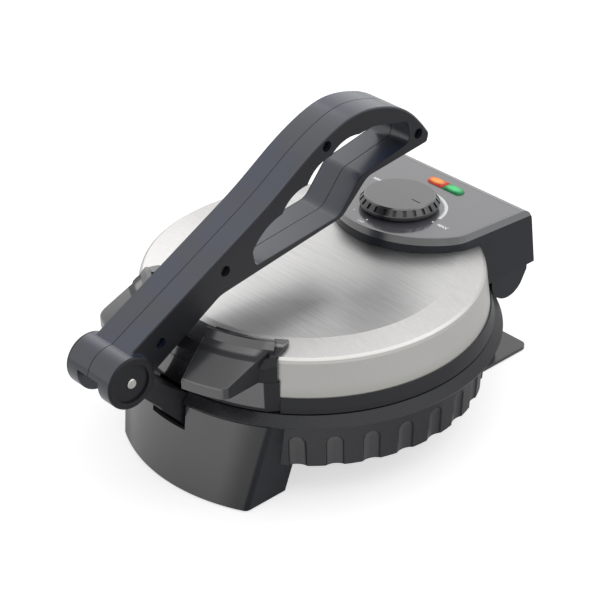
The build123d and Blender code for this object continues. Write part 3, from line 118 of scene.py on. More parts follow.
# Printed scale, in angles anticlockwise from the right, seen along the dial's axis
BAND_START = radians(92.6)
BAND_SWEEP = radians(-80.6)
BAND_WIDEST = 0.62               # share of the sweep
BAND_TAPER = 2.4
BAND_STEPS = 48
MARK_ROWS = {                    # degrees of the first mark and from one mark to the next
    "scale_marks_low": (-87.5, -30.5),
    "scale_marks_ends": (-172.5, 172.8),
}
MARKS_IN_ROW = 2
MARK_SIDES = 24

# Stage; the camera is given by its place and its own three directions
CAMERA_PLACE = (0.8940, -0.77605, 0.8139)
CAMERA_RIGHT = (0.6698, 0.7421, -0.0262)
CAMERA_UP = (-0.3725, 0.3664, 0.8527)
CAMERA_BACK = (0.6423, -0.5614, 0.5218)
SENSOR_WIDTH = 36.0              # millimetres
LAMP_AIM = (0.0, 0.0, 0.1)
FLOOR_REACH = 4.0                # half the side of the floor


# ---------------------------------------------------------------- node writing
def feed(tree, socket, value):
    """Links a socket to an output, or gives it a plain value."""
    if isinstance(value, Socket):
        value = value.socket
    if isinstance(value, bpy.types.NodeSocket):
        tree.links.new(value, socket)
    else:
        socket.default_value = value


def add_node(tree, kind, inputs=None, **settings):
    """Adds a node with its settings, and then its values or links by input name or number."""
    node = tree.nodes.new(kind)
    for key, value in settings.items():
        setattr(node, key, value)
    for key, value in (inputs or {}).items():
        feed(tree, node.inputs[key], value)
    return node


class Socket:
    """A shader output that can be written in plain arithmetic, each sign adding its Math node."""

    def __init__(self, shader, socket):
        self.shader = shader
        self.socket = socket

    def _math(self, operation, first, second):
        return self.shader.node("ShaderNodeMath", {0: first, 1: second}, operation=operation)

    def __add__(self, other):
        return self._math("ADD", self, other)

    def __radd__(self, other):
        return self._math("ADD", other, self)

    def __sub__(self, other):
        return self._math("SUBTRACT", self, other)

    def __rsub__(self, other):
        return self._math("SUBTRACT", other, self)

    def __mul__(self, other):
        return self._math("MULTIPLY", self, other)

    def __rmul__(self, other):
        return self._math("MULTIPLY", other, self)

    def __truediv__(self, other):
        return self._math("DIVIDE", self, other)

    def __pow__(self, other):
        return self._math("POWER", self, other)

    def __abs__(self):
        return self._math("ABSOLUTE", self, 0.0)


class Shader:
    """Writes one material's nodes: patterns on Object coordinates, feeding one Principled BSDF."""

    def __init__(self, name):
        self.material = bpy.data.materials.new(name)
        self.material.use_nodes = True
        self.tree = self.material.node_tree
        self.tree.nodes.clear()
        self.place = self.node("ShaderNodeTexCoord", output="Object")
        self.body = add_node(self.tree, "ShaderNodeBsdfPrincipled")
        add_node(self.tree, "ShaderNodeOutputMaterial", {"Surface": self.body.outputs[0]})

    def node(self, kind, inputs=None, output=0, **settings):
        """Adds a node and returns one of its outputs, ready for arithmetic."""
        return Socket(self, add_node(self.tree, kind, inputs, **settings).outputs[output])

    def feed(self, **inputs):
        """Sets or links sockets of the Principled BSDF; an underscore stands for a space."""
        for key, value in inputs.items():
            feed(self.tree, self.body.inputs[key.replace("_", " ")], value)
        return self

    def axis(self, name):
        """One coordinate of the surface point: X, Y or Z."""
        return self.node("ShaderNodeSeparateXYZ", {0: self.place}, name)

    def scaled(self, scale):
        """The surface point after a Mapping node."""
        return self.node("ShaderNodeMapping", {"Vector": self.place, "Scale": scale})

    def noise(self, size, detail=3.0, stretch=(1.0, 1.0, 1.0), roughness=0.5):
        """Noise from 0 to 1 with patches of the given size, drawn out along an axis by stretch."""
        point = self.scaled(tuple(1.0 / (size * s) for s in stretch))
        inputs = {"Vector": point, "Scale": 1.0, "Detail": detail, "Roughness": roughness}
        return self.node("ShaderNodeTexNoise", inputs, "Fac")

    def cells(self, size, output="Distance"):
        """Voronoi cells of the given size."""
        point = self.scaled((1.0 / size,) * 3)
        return self.node("ShaderNodeTexVoronoi", {"Vector": point, "Scale": 1.0}, output)

    def above(self, value, level, edge):
        """0 below a level and 1 above it, smooth over the edge on each side."""
        inputs = {"Value": value, "From Min": level - edge, "From Max": level + edge}
        return self.node("ShaderNodeMapRange", inputs, "Result", interpolation_type="SMOOTHSTEP")

    def within(self, value, limit, edge=0.4 * MM):
        """1 where the size of a value is below a limit, smooth over the edge on each side."""
        return 1 - self.above(abs(value), limit, edge)

    def larger(self, first, second):
        """The larger of two values."""
        return self.node("ShaderNodeMath", {0: first, 1: second}, operation="MAXIMUM")

    def mix(self, factor, first, second):
        """Blend of two colours."""
        return self.node("ShaderNodeMix", {0: factor, 6: first, 7: second}, 2, data_type="RGBA")

    def bump(self, height, distance, strength=1.0):
        """Feeds a height pattern, 0 to 1, to the normal; distance is its depth."""
        inputs = {"Height": height, "Distance": distance, "Strength": strength}
        return self.feed(Normal=self.node("ShaderNodeBump", inputs, "Normal"))

    def lid_radius(self):
        """Distance from the lid's upright axis."""
        x = self.axis("X")
        y = self.axis("Y") - LID_Y
        return (x * x + y * y) ** 0.5


def rgba(colour, gain=1.0):
    """Four numbers from a colour property."""
    return (colour[0] * gain, colour[1] * gain, colour[2] * gain, 1.0)


# ---------------------------------------------------------------- finishes
def moulded(name, colour, roughness, grain=0.9 * MM, depth=0.05 * MM, mottle=0.18, shine=0.5):
    """Moulded plastic: fine grain, slightly uneven sheen and, unless mottle is 0, faint flow mottling."""
    shader = Shader(name)
    fine = shader.noise(grain, 2.0)
    tint = rgba(colour)
    if mottle:
        flow = shader.noise(22 * MM, 2.0)
        tint = shader.mix(flow, rgba(colour, 1 - mottle), rgba(colour, 1 + mottle))
    shader.feed(
        Base_Color=tint,
        Roughness=roughness - 0.04 + 0.08 * fine,
        Specular_IOR_Level=shine,
    )
    shader.bump(fine, depth)
    return shader


def polished(shader, where, index, roughness):
    """Adds the polished skin of a mirror-finished mould, all over or only where a mask says."""
    return shader.feed(Coat_Weight=where, Coat_IOR=index, Coat_Roughness=roughness)


def front_wall(shader, foot, top, half_width):
    """Mask of the lid's upright front wall, which mirrors the table."""
    skin = shader.within(shader.lid_radius() - FRONT_WALL_R, 0.4 * MM, 0.1 * MM)
    height = shader.within(shader.axis("Z") - (foot + top) / 2, (top - foot) / 2)
    front = 1 - shader.above(shader.axis("Y"), FRONT_Y, 5 * MM)
    return skin * height * front * shader.within(shader.axis("X"), half_width)


def brushed_steel(name, colour):
    """Stainless steel brushed from side to side and a little cloudy, with painted shade on its shoulder,
    rolled edge and wall, and a painted dark reflection of the rim at the wall's foot.
    """
    shader = Shader(name)
    broad = shader.noise(1.8 * MM, 4.0, (34.0, 1.0, 1.0), 0.62)
    hair = shader.noise(0.7 * MM, 4.0, (60.0, 1.0, 1.0), 0.7)
    cloud = shader.noise(70 * MM, 2.0, (2.0, 1.0, 1.0))
    lines = 0.35 * broad + 0.65 * hair
    tone = 0.75 * lines + 0.25 * cloud
    height = shader.axis("Z")
    from_axis = shader.lid_radius()
    shoulder = shader.above(from_axis, CREASE_R, 1.5 * MM)
    rolled_edge = shader.above(from_axis, COVER_ROLL_R, 0.9 * MM)
    wall = shader.larger(1 - shader.above(height, COVER_WALL_Z, 0.9 * MM), rolled_edge)
    # Painted dark reflection of the black rim, growing towards the foot of the wall.
    painted_rim_reflection = 1 - shader.above(height, COVER_FOOT_Z, 3.5 * MM)
    # Darker copies of the steel's colour: painted shade on the shoulder, the rolled edge and the wall.
    shaded_pinkish = rgba((colour[0] * 1.05, colour[1], colour[2]), 0.72)
    shaded_yellowish = rgba((colour[0], colour[1], colour[2] * 0.94), 0.72)
    brushed = shader.mix(shader.above(tone, 0.5, 0.18), rgba(colour, 0.84), rgba(colour, 1.08))
    rolled = shader.mix(0.34 * shoulder, brushed, shaded_pinkish)
    shader.feed(
        Base_Color=shader.mix(0.6 * wall + 0.4 * painted_rim_reflection, rolled, shaded_yellowish),
        Metallic=1.0,
        Roughness=0.28 + 0.16 * lines,
    )
    shader.bump(lines, 0.06 * MM, 0.7)
    return shader


def turned_metal(name, colour, roughness=0.3):
    """Plain bar metal for pins and screws, with faint turning marks and tarnish."""
    shader = Shader(name)
    marks = shader.noise(0.5 * MM, 2.0, (1.0, 8.0, 8.0))
    tarnish = shader.noise(5 * MM, 3.0)
    shader.feed(
        Base_Color=shader.mix(tarnish, rgba(colour, 0.8), rgba(colour, 1.1)),
        Metallic=1.0,
        Roughness=roughness - 0.06 + 0.16 * marks,
    )
    shader.bump(marks, 0.03 * MM)
    return shader


def coated_plate(name, colour):
    """Cast aluminium with a baked non-stick coat: tiny pale flecks and a faint pebble."""
    shader = Shader(name)
    pebble = shader.cells(1.6 * MM)
    fleck = 1 - shader.above(shader.cells(2.4 * MM), 0.09, 0.04)
    shader.feed(
        Base_Color=shader.mix(fleck, rgba(colour), rgba(colour, 4.0)),
        Roughness=0.34 + 0.1 * pebble,
        Metallic=0.15,
    )
    shader.bump(pebble, 0.04 * MM)
    return shader


def plated_sheet(name, colour):
    """Zinc-coated sheet with its spangle."""
    shader = Shader(name)
    spangle = shader.node("ShaderNodeSeparateColor", {0: shader.cells(9 * MM, "Color")}, "Red")
    shader.feed(
        Base_Color=shader.mix(spangle, rgba(colour, 0.75), rgba(colour, 1.15)),
        Metallic=1.0,
        Roughness=0.3 + 0.22 * spangle,
    )
    shader.bump(shader.noise(0.8 * MM), 0.02 * MM)
    return shader


def heater_sheath(name, colour):
    """Oxidised tube of a heating element, bluer and browner in patches."""
    shader = Shader(name)
    heat = shader.noise(16 * MM, 3.0)
    shader.feed(
        Base_Color=shader.mix(heat, rgba(colour, 0.55), rgba(colour, 1.2)),
        Metallic=0.9,
        Roughness=0.42 + 0.2 * heat,
    )
    shader.bump(shader.noise(0.6 * MM), 0.03 * MM)
    return shader


def lit_lens(name, colour, core, centre, reach):
    """Domed signal lens: deep colour at its rim, bright where the lamp behind shows through."""
    shader = Shader(name)
    x = (shader.axis("X") - centre[0]) / reach[0]
    y = (shader.axis("Y") - centre[1]) / reach[1]
    spot = 1 - shader.above(x * x + y * y, 0.5, 0.5)
    glow = shader.mix(spot, rgba(colour), rgba(core))
    rim = shader.noise(1.5 * MM, 2.0)
    shader.feed(
        Base_Color=glow,
        Emission_Color=glow,
        Emission_Strength=0.35,
        Roughness=0.1 + 0.08 * rim,
        Coat_Weight=0.1,
        Coat_Roughness=0.04,
    )
    shader.bump(rim, 0.02 * MM)
    return shader


def rubber(name, colour):
    """Dull rubber with a fine dusty film."""
    shader = Shader(name)
    dust_and_painted_sheen = shader.noise(3 * MM, 4.0)
    shader.feed(
        Base_Color=shader.mix(dust_and_painted_sheen, rgba(colour, 0.8), rgba(colour, 1.4)),
        Roughness=0.72 + 0.12 * dust_and_painted_sheen,
    )
    shader.bump(shader.noise(0.5 * MM), 0.04 * MM)
    return shader


def printed_ink(name, colour):
    """Screen-printed ink, slightly thin in places, with a faint painted glow that brightens it."""
    shader = Shader(name)
    thin = shader.noise(0.5 * MM, 2.0)
    shader.feed(
        Base_Color=shader.mix(thin, rgba(colour, 0.9), rgba(colour)),
        Roughness=0.45 + 0.1 * thin,
        # A faint glow of painted light on the ink.
        Emission_Color=rgba(colour),
        Emission_Strength=0.15,
    )
    return shader


def dress(shader, *nodes):
    """Gives a finish to CAD parts, by node name."""
    for node in nodes:
        part = frame["nodes"][node]
        part.data.materials.clear()
        part.data.materials.append(shader.material)


# ---------------------------------------------------------------- settings
def colour_property(name, description, default):
    """A colour that a user may change."""
    return bpy.props.FloatVectorProperty(
        name=name, description=description, default=default, size=3, min=0.0, max=1.0, subtype="COLOR")


def length_property(name, description, default):
    """A length that a user may change."""
    return bpy.props.FloatProperty(name=name, description=description, default=default, unit="LENGTH")


def power_property(name, description, default):
    """The power of a lamp, in watts."""
    return bpy.props.FloatProperty(name=name, description=description, default=default, min=0.0, unit="POWER")


def number_property(name, description, default):
    """A plain number that a user may change."""
    return bpy.props.FloatProperty(name=name, description=description, default=default, min=0.0)


class CookerFinishes(bpy.types.PropertyGroup):
    """Colours and surface sizes of the cooker's parts."""

    steel: colour_property("Steel", "Brushed lid cover", (0.69, 0.685, 0.68))
    # Black is also painted on the front foot's sides as painted shade.
    black: colour_property("Black", "Panel housing and bezel", (0.0125, 0.0155, 0.021))
    charcoal: colour_property("Charcoal", "Base, lid rim, grip and arm", (0.02, 0.0205, 0.0245))
    # Painted reflection: a blue colour on the arm's polished faces.
    dust_and_painted_sheen: colour_property("Bloom", "Bluish sheen of the arm's polished faces", (0.011, 0.024, 0.066))
    foot: colour_property("Foot", "Front foot", (0.056, 0.056, 0.058))
    knob: colour_property("Knob", "Heat dial", (0.032, 0.032, 0.035))
    fascia: colour_property("Fascia", "Panel round the dial", (0.088, 0.086, 0.1))
    coating: colour_property("Coating", "Non-stick cooking plates", (0.02, 0.02, 0.022))
    zinc: colour_property("Zinc", "Heat shields", (0.5, 0.51, 0.52))
    sheath: colour_property("Sheath", "Heating elements", (0.22, 0.19, 0.17))
    ceramic: colour_property("Ceramic", "Thermostat body", (0.62, 0.58, 0.5))
    rubber: colour_property("Rubber", "Feet and cord bush", (0.02, 0.02, 0.02))
    bright: colour_property("Bright metal", "Pins and screws", (0.6, 0.6, 0.58))
    heating_deep: colour_property("Heating lens, edge", "Amber lens at its edge", (0.6, 0.02, 0.0))
    heating_core: colour_property("Heating lens, middle", "Amber lens over its lamp", (1.0, 0.38, 0.03))
    ready_deep: colour_property("Ready lens, edge", "Green lens at its edge", (0.0, 0.22, 0.06))
    ready_core: colour_property("Ready lens, middle", "Green lens over its lamp", (0.04, 0.66, 0.2))
    grain: length_property("Grain", "Size of the leather-like grain on the base", 1.1 * MM)
    grain_depth: length_property("Grain depth", "Depth of that grain", 0.24 * MM)


class CookerPrint(bpy.types.PropertyGroup):
    """The white heat scale round the dial."""

    ink: colour_property("Ink", "Colour of the print", (0.93, 0.95, 0.97))
    thickness: length_property("Thickness", "Height of the ink on the panel", 0.06 * MM)
    scale_radius: length_property("Scale radius", "Outer edge of the tapered band", 33.7 * MM)
    band_width: length_property("Band width", "Widest part of the tapered band", 2.8 * MM)
    dot_radius: length_property("Dot radius", "Size of each mark", 0.85 * MM)
    dot_ring: length_property("Dot ring", "Radius that the marks stand on", 32.5 * MM)


class CookerStage(bpy.types.PropertyGroup):
    """Floor, lamps and camera."""

    floor: colour_property("Floor", "Table top", (0.86, 0.86, 0.87))
    floor_glow: number_property("Floor glow", "Whitens the floor for the camera", 0.62)
    floor_mirror: number_property("Floor in mirrors", "Whitens the floor in reflections", 0.16)
    fill: number_property("Fill", "Light from the room", 0.4)
    key_power: power_property("Key power", "Broad soft box overhead", 9.5)
    side_power: power_property("Side power", "Soft box on the left", 1.3)
    rim_power: power_property("Rim power", "Soft box at the back on the right", 1.3)
    focal_length: number_property("Focal length", "Camera lens, in millimetres", 123.41)


def link(piece):
    """Puts a new object in the scene."""
    bpy.context.scene.collection.objects.link(piece)
    return piece


def baked(maker, name, material):
    """Turns a curve, text or modified object into a plain mesh piece and drops the maker."""
    link(maker)
    graph = bpy.context.evaluated_depsgraph_get()
    mesh = bpy.data.meshes.new_from_object(maker.evaluated_get(graph))
    bpy.data.objects.remove(maker)
    mesh.materials.clear()
    mesh.materials.append(material)
    return link(bpy.data.objects.new(name, mesh))


def panel_place(x, y, lift=0.0):
    """Matrix that takes flat work to the sloping panel, x and y from the dial's axis."""
    joint = JOINTS["dial_turn"]
    up = Vector(joint["axis"]).normalized()
    side = Vector((1.0, 0.0, 0.0))
    along = up.cross(side)
    foot = Vector(joint["pos_m"]) + side * x + along * y + up * lift
    turn = Matrix((side, along, up)).transposed().to_4x4()
    return Matrix.Translation(foot) @ turn


# ---------------------------------------------------------------- operators
class DressLid(bpy.types.Operator):
    """Brushed steel cover, moulded rim, grip and panel housing"""

    bl_idname = "cooker.dress_lid"
    bl_label = "Lid"

    def execute(self, context):
        look = context.scene.cooker_finishes
        dress(brushed_steel("brushed_lid_steel", look.steel), "lid_cover")
        rim = moulded("lid_rim_plastic", look.charcoal, 0.42, shine=0.35)
        mirror = front_wall(rim, RIM_WALL_FOOT_Z, RIM_WALL_TOP_Z, RIM_WALL_HALF)
        dress(polished(rim, mirror, index=2.3, roughness=0.09), "lid_rim")
        self.dress_grip(look)
        housing = moulded("housing_plastic", look.black, 0.3, grain=0.8 * MM, depth=0.02 * MM, shine=0.3)
        dress(housing, "control_housing", "hinge_housing")
        bezel = moulded("bezel_gloss", look.black, 0.2, grain=3 * MM, depth=0.004 * MM)
        dress(polished(bezel, 1.0, index=2.3, roughness=0.06), "control_top")
        fascia = moulded("fascia_satin", look.fascia, 0.3, grain=0.6 * MM, depth=0.006 * MM, mottle=0.05)
        dress(polished(fascia, 1.0, index=2.0, roughness=0.07), "control_fascia")
        dress(turned_metal("grip_screw_steel", look.bright, 0.34), "grip_screws")
        return {"FINISHED"}

    def dress_grip(self, look):
        """Polished front wall, wings that shine most at the tip, and a bright ridge and hooks."""
        grip = moulded("grip_plastic", look.charcoal, 0.3, grain=0.7 * MM, depth=0.03 * MM, shine=0.3)
        across = grip.axis("X")
        height = grip.axis("Z")
        from_axis = grip.lid_radius()
        mirror = front_wall(grip, GRIP_WALL_FOOT_Z, GRIP_WALL_TOP_Z, GRIP_WALL_HALF)
        wing = grip.above(from_axis, WING_R, 0.5 * MM) * grip.within(across, WING_HALF, 0.2 * MM)
        tip = grip.above(from_axis, WING_TIP_R, 0.4 * MM)
        ridge = grip.above(height, RIDGE_Z, 0.5 * MM) * grip.within(across, RIDGE_HALF, 2 * MM)
        hook = grip.above(height, HOOK_Z, 0.4 * MM) * (1 - ridge)
        shiny = grip.larger(0.36 * wing + 0.5 * wing * tip, 0.6 * ridge + 0.9 * hook)
        dress(polished(grip, grip.larger(mirror, shiny), index=2.3, roughness=0.16), "lid_grip")


class DressBase(bpy.types.Operator):
    """Grained base, feet, bracket, cord bush and rubber"""

    bl_idname = "cooker.dress_base"
    bl_label = "Base"

    def execute(self, context):
        look = context.scene.cooker_finishes
        self.dress_shell(look)
        self.dress_foot(look)
        post = moulded("post_plastic", look.charcoal, 0.36, depth=0.06 * MM)
        dress(polished(post, 0.6, index=1.7, roughness=0.2), "rear_foot")
        dress(moulded("bracket_plastic", look.charcoal, 0.4), "pivot_bracket")
        dress(moulded("underside_plastic", look.charcoal, 0.55), "bottom_cover")
        dress(rubber("soft_rubber", look.rubber), "rubber_feet", "cord_bush")
        dress(turned_metal("zinc_screws", look.bright, 0.36), "base_screws", "bracket_screws")
        dress(turned_metal("hinge_steel", look.bright, 0.25), "hinge_pins")
        return {"FINISHED"}

    def dress_shell(self, look):
        """Grained bowl, worn smooth on its skirt and in the flutes, less so towards the back, with a line of
        painted shade round each flute.
        """
        grain = moulded("base_grain", look.charcoal, 0.4, look.grain, look.grain_depth, mottle=0, shine=0.3)
        height = grain.axis("Z")
        skirt = 1 - grain.above(height, SKIRT_TOP_Z, 1 * MM)
        sunk = SKIRT_R + SKIRT_DRAFT * (height - SKIRT_FOOT_Z) - grain.lid_radius()
        scoop = grain.above(sunk, FLUTE_FLOOR, 0.4 * MM) * grain.within(sunk, FLUTE_DEEPEST)
        # A thin dark line of painted shade round the edge of each flute.
        flute_edge_shade = grain.within(sunk - FLUTE_LIP, 0.22 * MM, 0.06 * MM)
        rearward = grain.above(grain.axis("Y"), MIDDLE_Y, 50 * MM)
        grain.feed(Base_Color=grain.mix(flute_edge_shade, rgba(look.charcoal), rgba(look.charcoal, 0.15)))
        worn = (0.16 + 0.4 * skirt) * (1 - 0.92 * rearward) + 0.6 * scoop * (1 - 0.5 * rearward)
        dress(polished(grain, worn * (1 - flute_edge_shade), index=1.7, roughness=0.2), "base_shell")

    def dress_foot(self, look):
        """Glossy front of the foot, fading towards its sides, which are painted black as painted shade."""
        foot = moulded("foot_gloss", look.foot, 0.3, grain=2.4 * MM, depth=0.01 * MM, mottle=0, shine=0.3)
        spread = abs(foot.axis("X")) - FOOT_LEAN * foot.axis("Z")
        side = foot.above(spread, FOOT_HALF, 1 * MM)
        gloss = 1 - 0.8 * foot.above(spread, FOOT_HALF - 12 * MM, 10 * MM)
        # Painted shade: the foot's sides take the black of the housing.
        foot.feed(Base_Color=foot.mix(side, rgba(look.foot), rgba(look.black)))
        dress(polished(foot, gloss * (1 - side), index=1.95, roughness=0.14), "front_foot")


class DressArm(bpy.types.Operator):
    """Press arm in two moulded halves, with its pin and screws"""

    bl_idname = "cooker.dress_arm"
    bl_label = "Press arm"

    def execute(self, context):
        look = context.scene.cooker_finishes
        arm = moulded("arm_plastic", look.charcoal, 0.34, grain=0.8 * MM, depth=0.03 * MM, mottle=0,
                      shine=0.25)
        pivot = Vector(JOINTS["press_arm"]["pos_m"])
        across = arm.axis("X")
        y = arm.axis("Y") - pivot.y
        z = arm.axis("Z") - pivot.z
        barrel = 1 - arm.above((y * y + z * z) ** 0.5, BARREL_R, 0.5 * MM)
        edges = arm.within(across, ARM_FACE_HALF, 0.5 * MM)
        seam = arm.within(across, SEAM_HALF, 0.1 * MM)
        inside = arm.within(across, ARM_HALF, 0.3 * MM)
        gloss = 0.85 * arm.larger(barrel, edges) * inside * (1 - seam)
        # Painted blue reflection, in patches, on the polished faces of the arm.
        patches = 0.3 + 0.7 * arm.above(arm.noise(40 * MM, 2.0), 0.5, 0.14)
        arm.feed(Base_Color=arm.mix(gloss * patches, rgba(look.charcoal), rgba(look.dust_and_painted_sheen)))
        dress(polished(arm, gloss, index=1.7, roughness=0.2), "arm_right", "arm_left")
        dress(turned_metal("dark_screws", rgba(look.bright, 0.12)[:3], 0.4), "arm_screws")
        dress(turned_metal("pivot_pin_steel", look.bright, 0.3), "pivot_pin")
        return {"FINISHED"}


class DressPlates(bpy.types.Operator):
    """Coated cooking plates, elements, shields and thermostat"""

    bl_idname = "cooker.dress_plates"
    bl_label = "Plates and heaters"

    def execute(self, context):
        look = context.scene.cooker_finishes
        dress(coated_plate("non_stick", look.coating), "lower_plate", "upper_plate")
        dress(heater_sheath("element_sheath", look.sheath), "lower_element", "upper_element")
        dress(plated_sheet("shield_zinc", look.zinc), "lower_shield", "upper_shield")
        dress(moulded("thermostat_ceramic", look.ceramic, 0.6), "thermostat")
        return {"FINISHED"}


class DressDial(bpy.types.Operator):
    """Heat dial and its spindle"""

    bl_idname = "cooker.dress_dial"
    bl_label = "Dial"

    def turned_place(self, shader):
        """Height along the dial's axis, from its joint, and distance from that axis."""
        foot = Vector(JOINTS["dial_turn"]["pos_m"])
        up = Vector(JOINTS["dial_turn"]["axis"]).normalized()
        away = [shader.axis(name) - foot["XYZ".index(name)] for name in "XYZ"]
        height = away[0] * up.x + away[1] * up.y + away[2] * up.z
        reach = (away[0] * away[0] + away[1] * away[1] + away[2] * away[2] - height * height) ** 0.5
        return height, reach

    def execute(self, context):
        look = context.scene.cooker_finishes
        knob = moulded("knob_plastic", look.knob, 0.36, grain=0.6 * MM, depth=0.03 * MM, mottle=0)
        height, reach = self.turned_place(knob)
        slope = knob.above(reach, KNOB_FACE_R, 0.4 * MM)
        cone = CONE_R - CONE_DRAFT * (height - CONE_Z)
        sunk = (cone - reach) * knob.within(height - SLOT_Z, SLOT_HALF, 0.2 * MM)
        slot = knob.above(sunk, 0.35 * MM, 0.15 * MM)
        lip = knob.within(sunk - 0.14 * MM, 0.08 * MM, 0.03 * MM)
        low = 1 - knob.above(height, POINTER_Z, 0.15 * MM)
        pointer = low * (1 - knob.above(reach, POINTER_R, 0.2 * MM))
        # Painted shade darkens the slots between the ribs and the pointer's groove.
        shade = knob.larger(slot, pointer)
        knob.feed(Base_Color=knob.mix(shade, rgba(look.knob), rgba(look.knob, 0.2)))
        gloss = (1 - 0.62 * slope + 0.5 * lip) * (1 - shade)
        dress(polished(knob, gloss, index=1.8, roughness=0.18), "dial_knob")
        dress(turned_metal("spindle_steel", look.bright, 0.3), "dial_shaft")
        return {"FINISHED"}


class DressLamps(bpy.types.Operator):
    """Amber heating lens, green ready lens and the lamps behind them"""

    bl_idname = "cooker.dress_lamps"
    bl_label = "Signal lamps"

    def execute(self, context):
        look = context.scene.cooker_finishes
        lights = {
            "heating": (look.heating_deep, look.heating_core),
            "ready": (look.ready_deep, look.ready_core),
        }
        for name, (deep, core) in lights.items():
            low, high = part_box(name + "_lens")
            middle = (low + high) / 2
            reach = ((high.x - low.x) / 2, (high.y - low.y) / 2)
            dress(lit_lens(name + "_lens_plastic", deep, core, middle, reach), name + "_lens")
            dress(lit_lens(name + "_lamp_glass", core, core, middle, reach), name + "_lamp")
        return {"FINISHED"}


# ---------------------------------------------------------------- printed scale
def group_tree(name, inputs):
    """An empty Geometry Nodes tree with named length or number inputs and one geometry output."""
    tree = bpy.data.node_groups.new(name, "GeometryNodeTree")
    tree.is_modifier = True
    tree.interface.new_socket("Geometry", in_out="OUTPUT", socket_type="NodeSocketGeometry")
    for label, kind in inputs.items():
        tree.interface.new_socket(label, in_out="INPUT", socket_type=kind)
    return tree


def grow(tree, kind, inputs=None, output=0, **settings):
    """Adds a node to a geometry tree and returns one of its outputs."""
    return add_node(tree, kind, inputs, **settings).outputs[output]


def reckon(tree, operation, *values):
    """The result of one Math node."""
    return grow(tree, "ShaderNodeMath", dict(enumerate(values)), operation=operation)


def close_tree(tree, geometry, material):
    """Realizes, colours and outputs the tree's geometry."""
    real = grow(tree, "GeometryNodeRealizeInstances", {"Geometry": geometry})
    inked = grow(tree, "GeometryNodeSetMaterial", {"Geometry": real, "Material": material})
    add_node(tree, "NodeGroupOutput", {0: inked})
    return tree


def grown(name, tree, values, material):
    """Runs a tree with these input values and returns the plain mesh piece."""
    maker = bpy.data.objects.new(name + "_maker", bpy.data.meshes.new(name + "_maker"))
    modifier = maker.modifiers.new("grow", "NODES")
    modifier.node_group = tree
    for item in tree.interface.items_tree:
        if item.in_out == "INPUT":
            modifier[item.identifier] = values[item.name]
    return baked(maker, name, material)


def tapered_band_tree(material):
    """A flat band that follows an arc, thinner at its start and widest near two thirds along."""
    names = ("Radius", "Start", "Sweep", "Width", "Thickness")
    tree = group_tree("tapered_band", dict.fromkeys(names, "NodeSocketFloat"))
    given = tree.nodes.new("NodeGroupInput").outputs
    arc = grow(tree, "GeometryNodeCurveArc", {
        "Resolution": BAND_STEPS, "Radius": given["Radius"], "Start Angle": given["Start"],
        "Sweep Angle": given["Sweep"]}, mode="RADIUS")
    along = grow(tree, "GeometryNodeSplineParameter", output="Factor")
    past = reckon(tree, "SUBTRACT", along, BAND_WIDEST)
    square = reckon(tree, "MULTIPLY", past, past)
    taper = reckon(tree, "MULTIPLY_ADD", square, -BAND_TAPER, 1.0)
    shaped = grow(tree, "GeometryNodeSetCurveRadius", {"Curve": arc, "Radius": taper})
    strip = grow(tree, "GeometryNodeCurvePrimitiveQuadrilateral", {
        "Width": given["Width"], "Height": given["Thickness"]})
    aside = grow(tree, "ShaderNodeCombineXYZ", {"X": reckon(tree, "MULTIPLY", given["Width"], 0.5)})
    edge = grow(tree, "GeometryNodeTransform", {"Geometry": strip, "Translation": aside})
    band = grow(tree, "GeometryNodeCurveToMesh", {
        "Curve": shaped, "Profile Curve": edge, "Fill Caps": True})
    return close_tree(tree, band, material)


def dot_row_tree(material):
    """Round marks at even steps along a ring."""
    tree = group_tree("dot_row", {
        "Ring": "NodeSocketFloat", "Start": "NodeSocketFloat", "Step": "NodeSocketFloat",
        "Count": "NodeSocketInt", "Dot": "NodeSocketFloat", "Thickness": "NodeSocketFloat"})
    given = tree.nodes.new("NodeGroupInput").outputs
    points = grow(tree, "GeometryNodeMeshLine", {"Count": given["Count"]}, mode="OFFSET")
    number = grow(tree, "GeometryNodeInputIndex")
    angle = reckon(tree, "MULTIPLY_ADD", number, given["Step"], given["Start"])
    aim = grow(tree, "ShaderNodeCombineXYZ", {
        "X": reckon(tree, "COSINE", angle), "Y": reckon(tree, "SINE", angle)})
    spot = grow(tree, "ShaderNodeVectorMath", {"Vector": aim, "Scale": given["Ring"]}, operation="SCALE")
    placed = grow(tree, "GeometryNodeSetPosition", {"Geometry": points, "Position": spot})
    dot = grow(tree, "GeometryNodeMeshCylinder", {
        "Vertices": MARK_SIDES, "Radius": given["Dot"], "Depth": given["Thickness"]})
    row = grow(tree, "GeometryNodeInstanceOnPoints", {"Points": placed, "Instance": dot})
    return close_tree(tree, row, material)


class PrintScale(bpy.types.Operator):
    """Tapered band and marks printed round the dial"""

    bl_idname = "cooker.print_scale"
    bl_label = "Heat scale"

    def execute(self, context):
        look = context.scene.cooker_print
        ink = printed_ink("scale_ink", look.ink).material
        made = [grown("scale_band", tapered_band_tree(ink), {
            "Radius": look.scale_radius, "Start": BAND_START, "Sweep": BAND_SWEEP,
            "Width": look.band_width, "Thickness": look.thickness}, ink)]
        for name, (start, step) in MARK_ROWS.items():
            made.append(grown(name, dot_row_tree(ink), {
                "Ring": look.dot_ring, "Start": radians(start), "Step": radians(step),
                "Count": MARKS_IN_ROW, "Dot": look.dot_radius, "Thickness": look.thickness}, ink))
        for piece in made:
            piece.data.transform(panel_place(0, 0, look.thickness / 2))
            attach(piece, "lid")
        return {"FINISHED"}


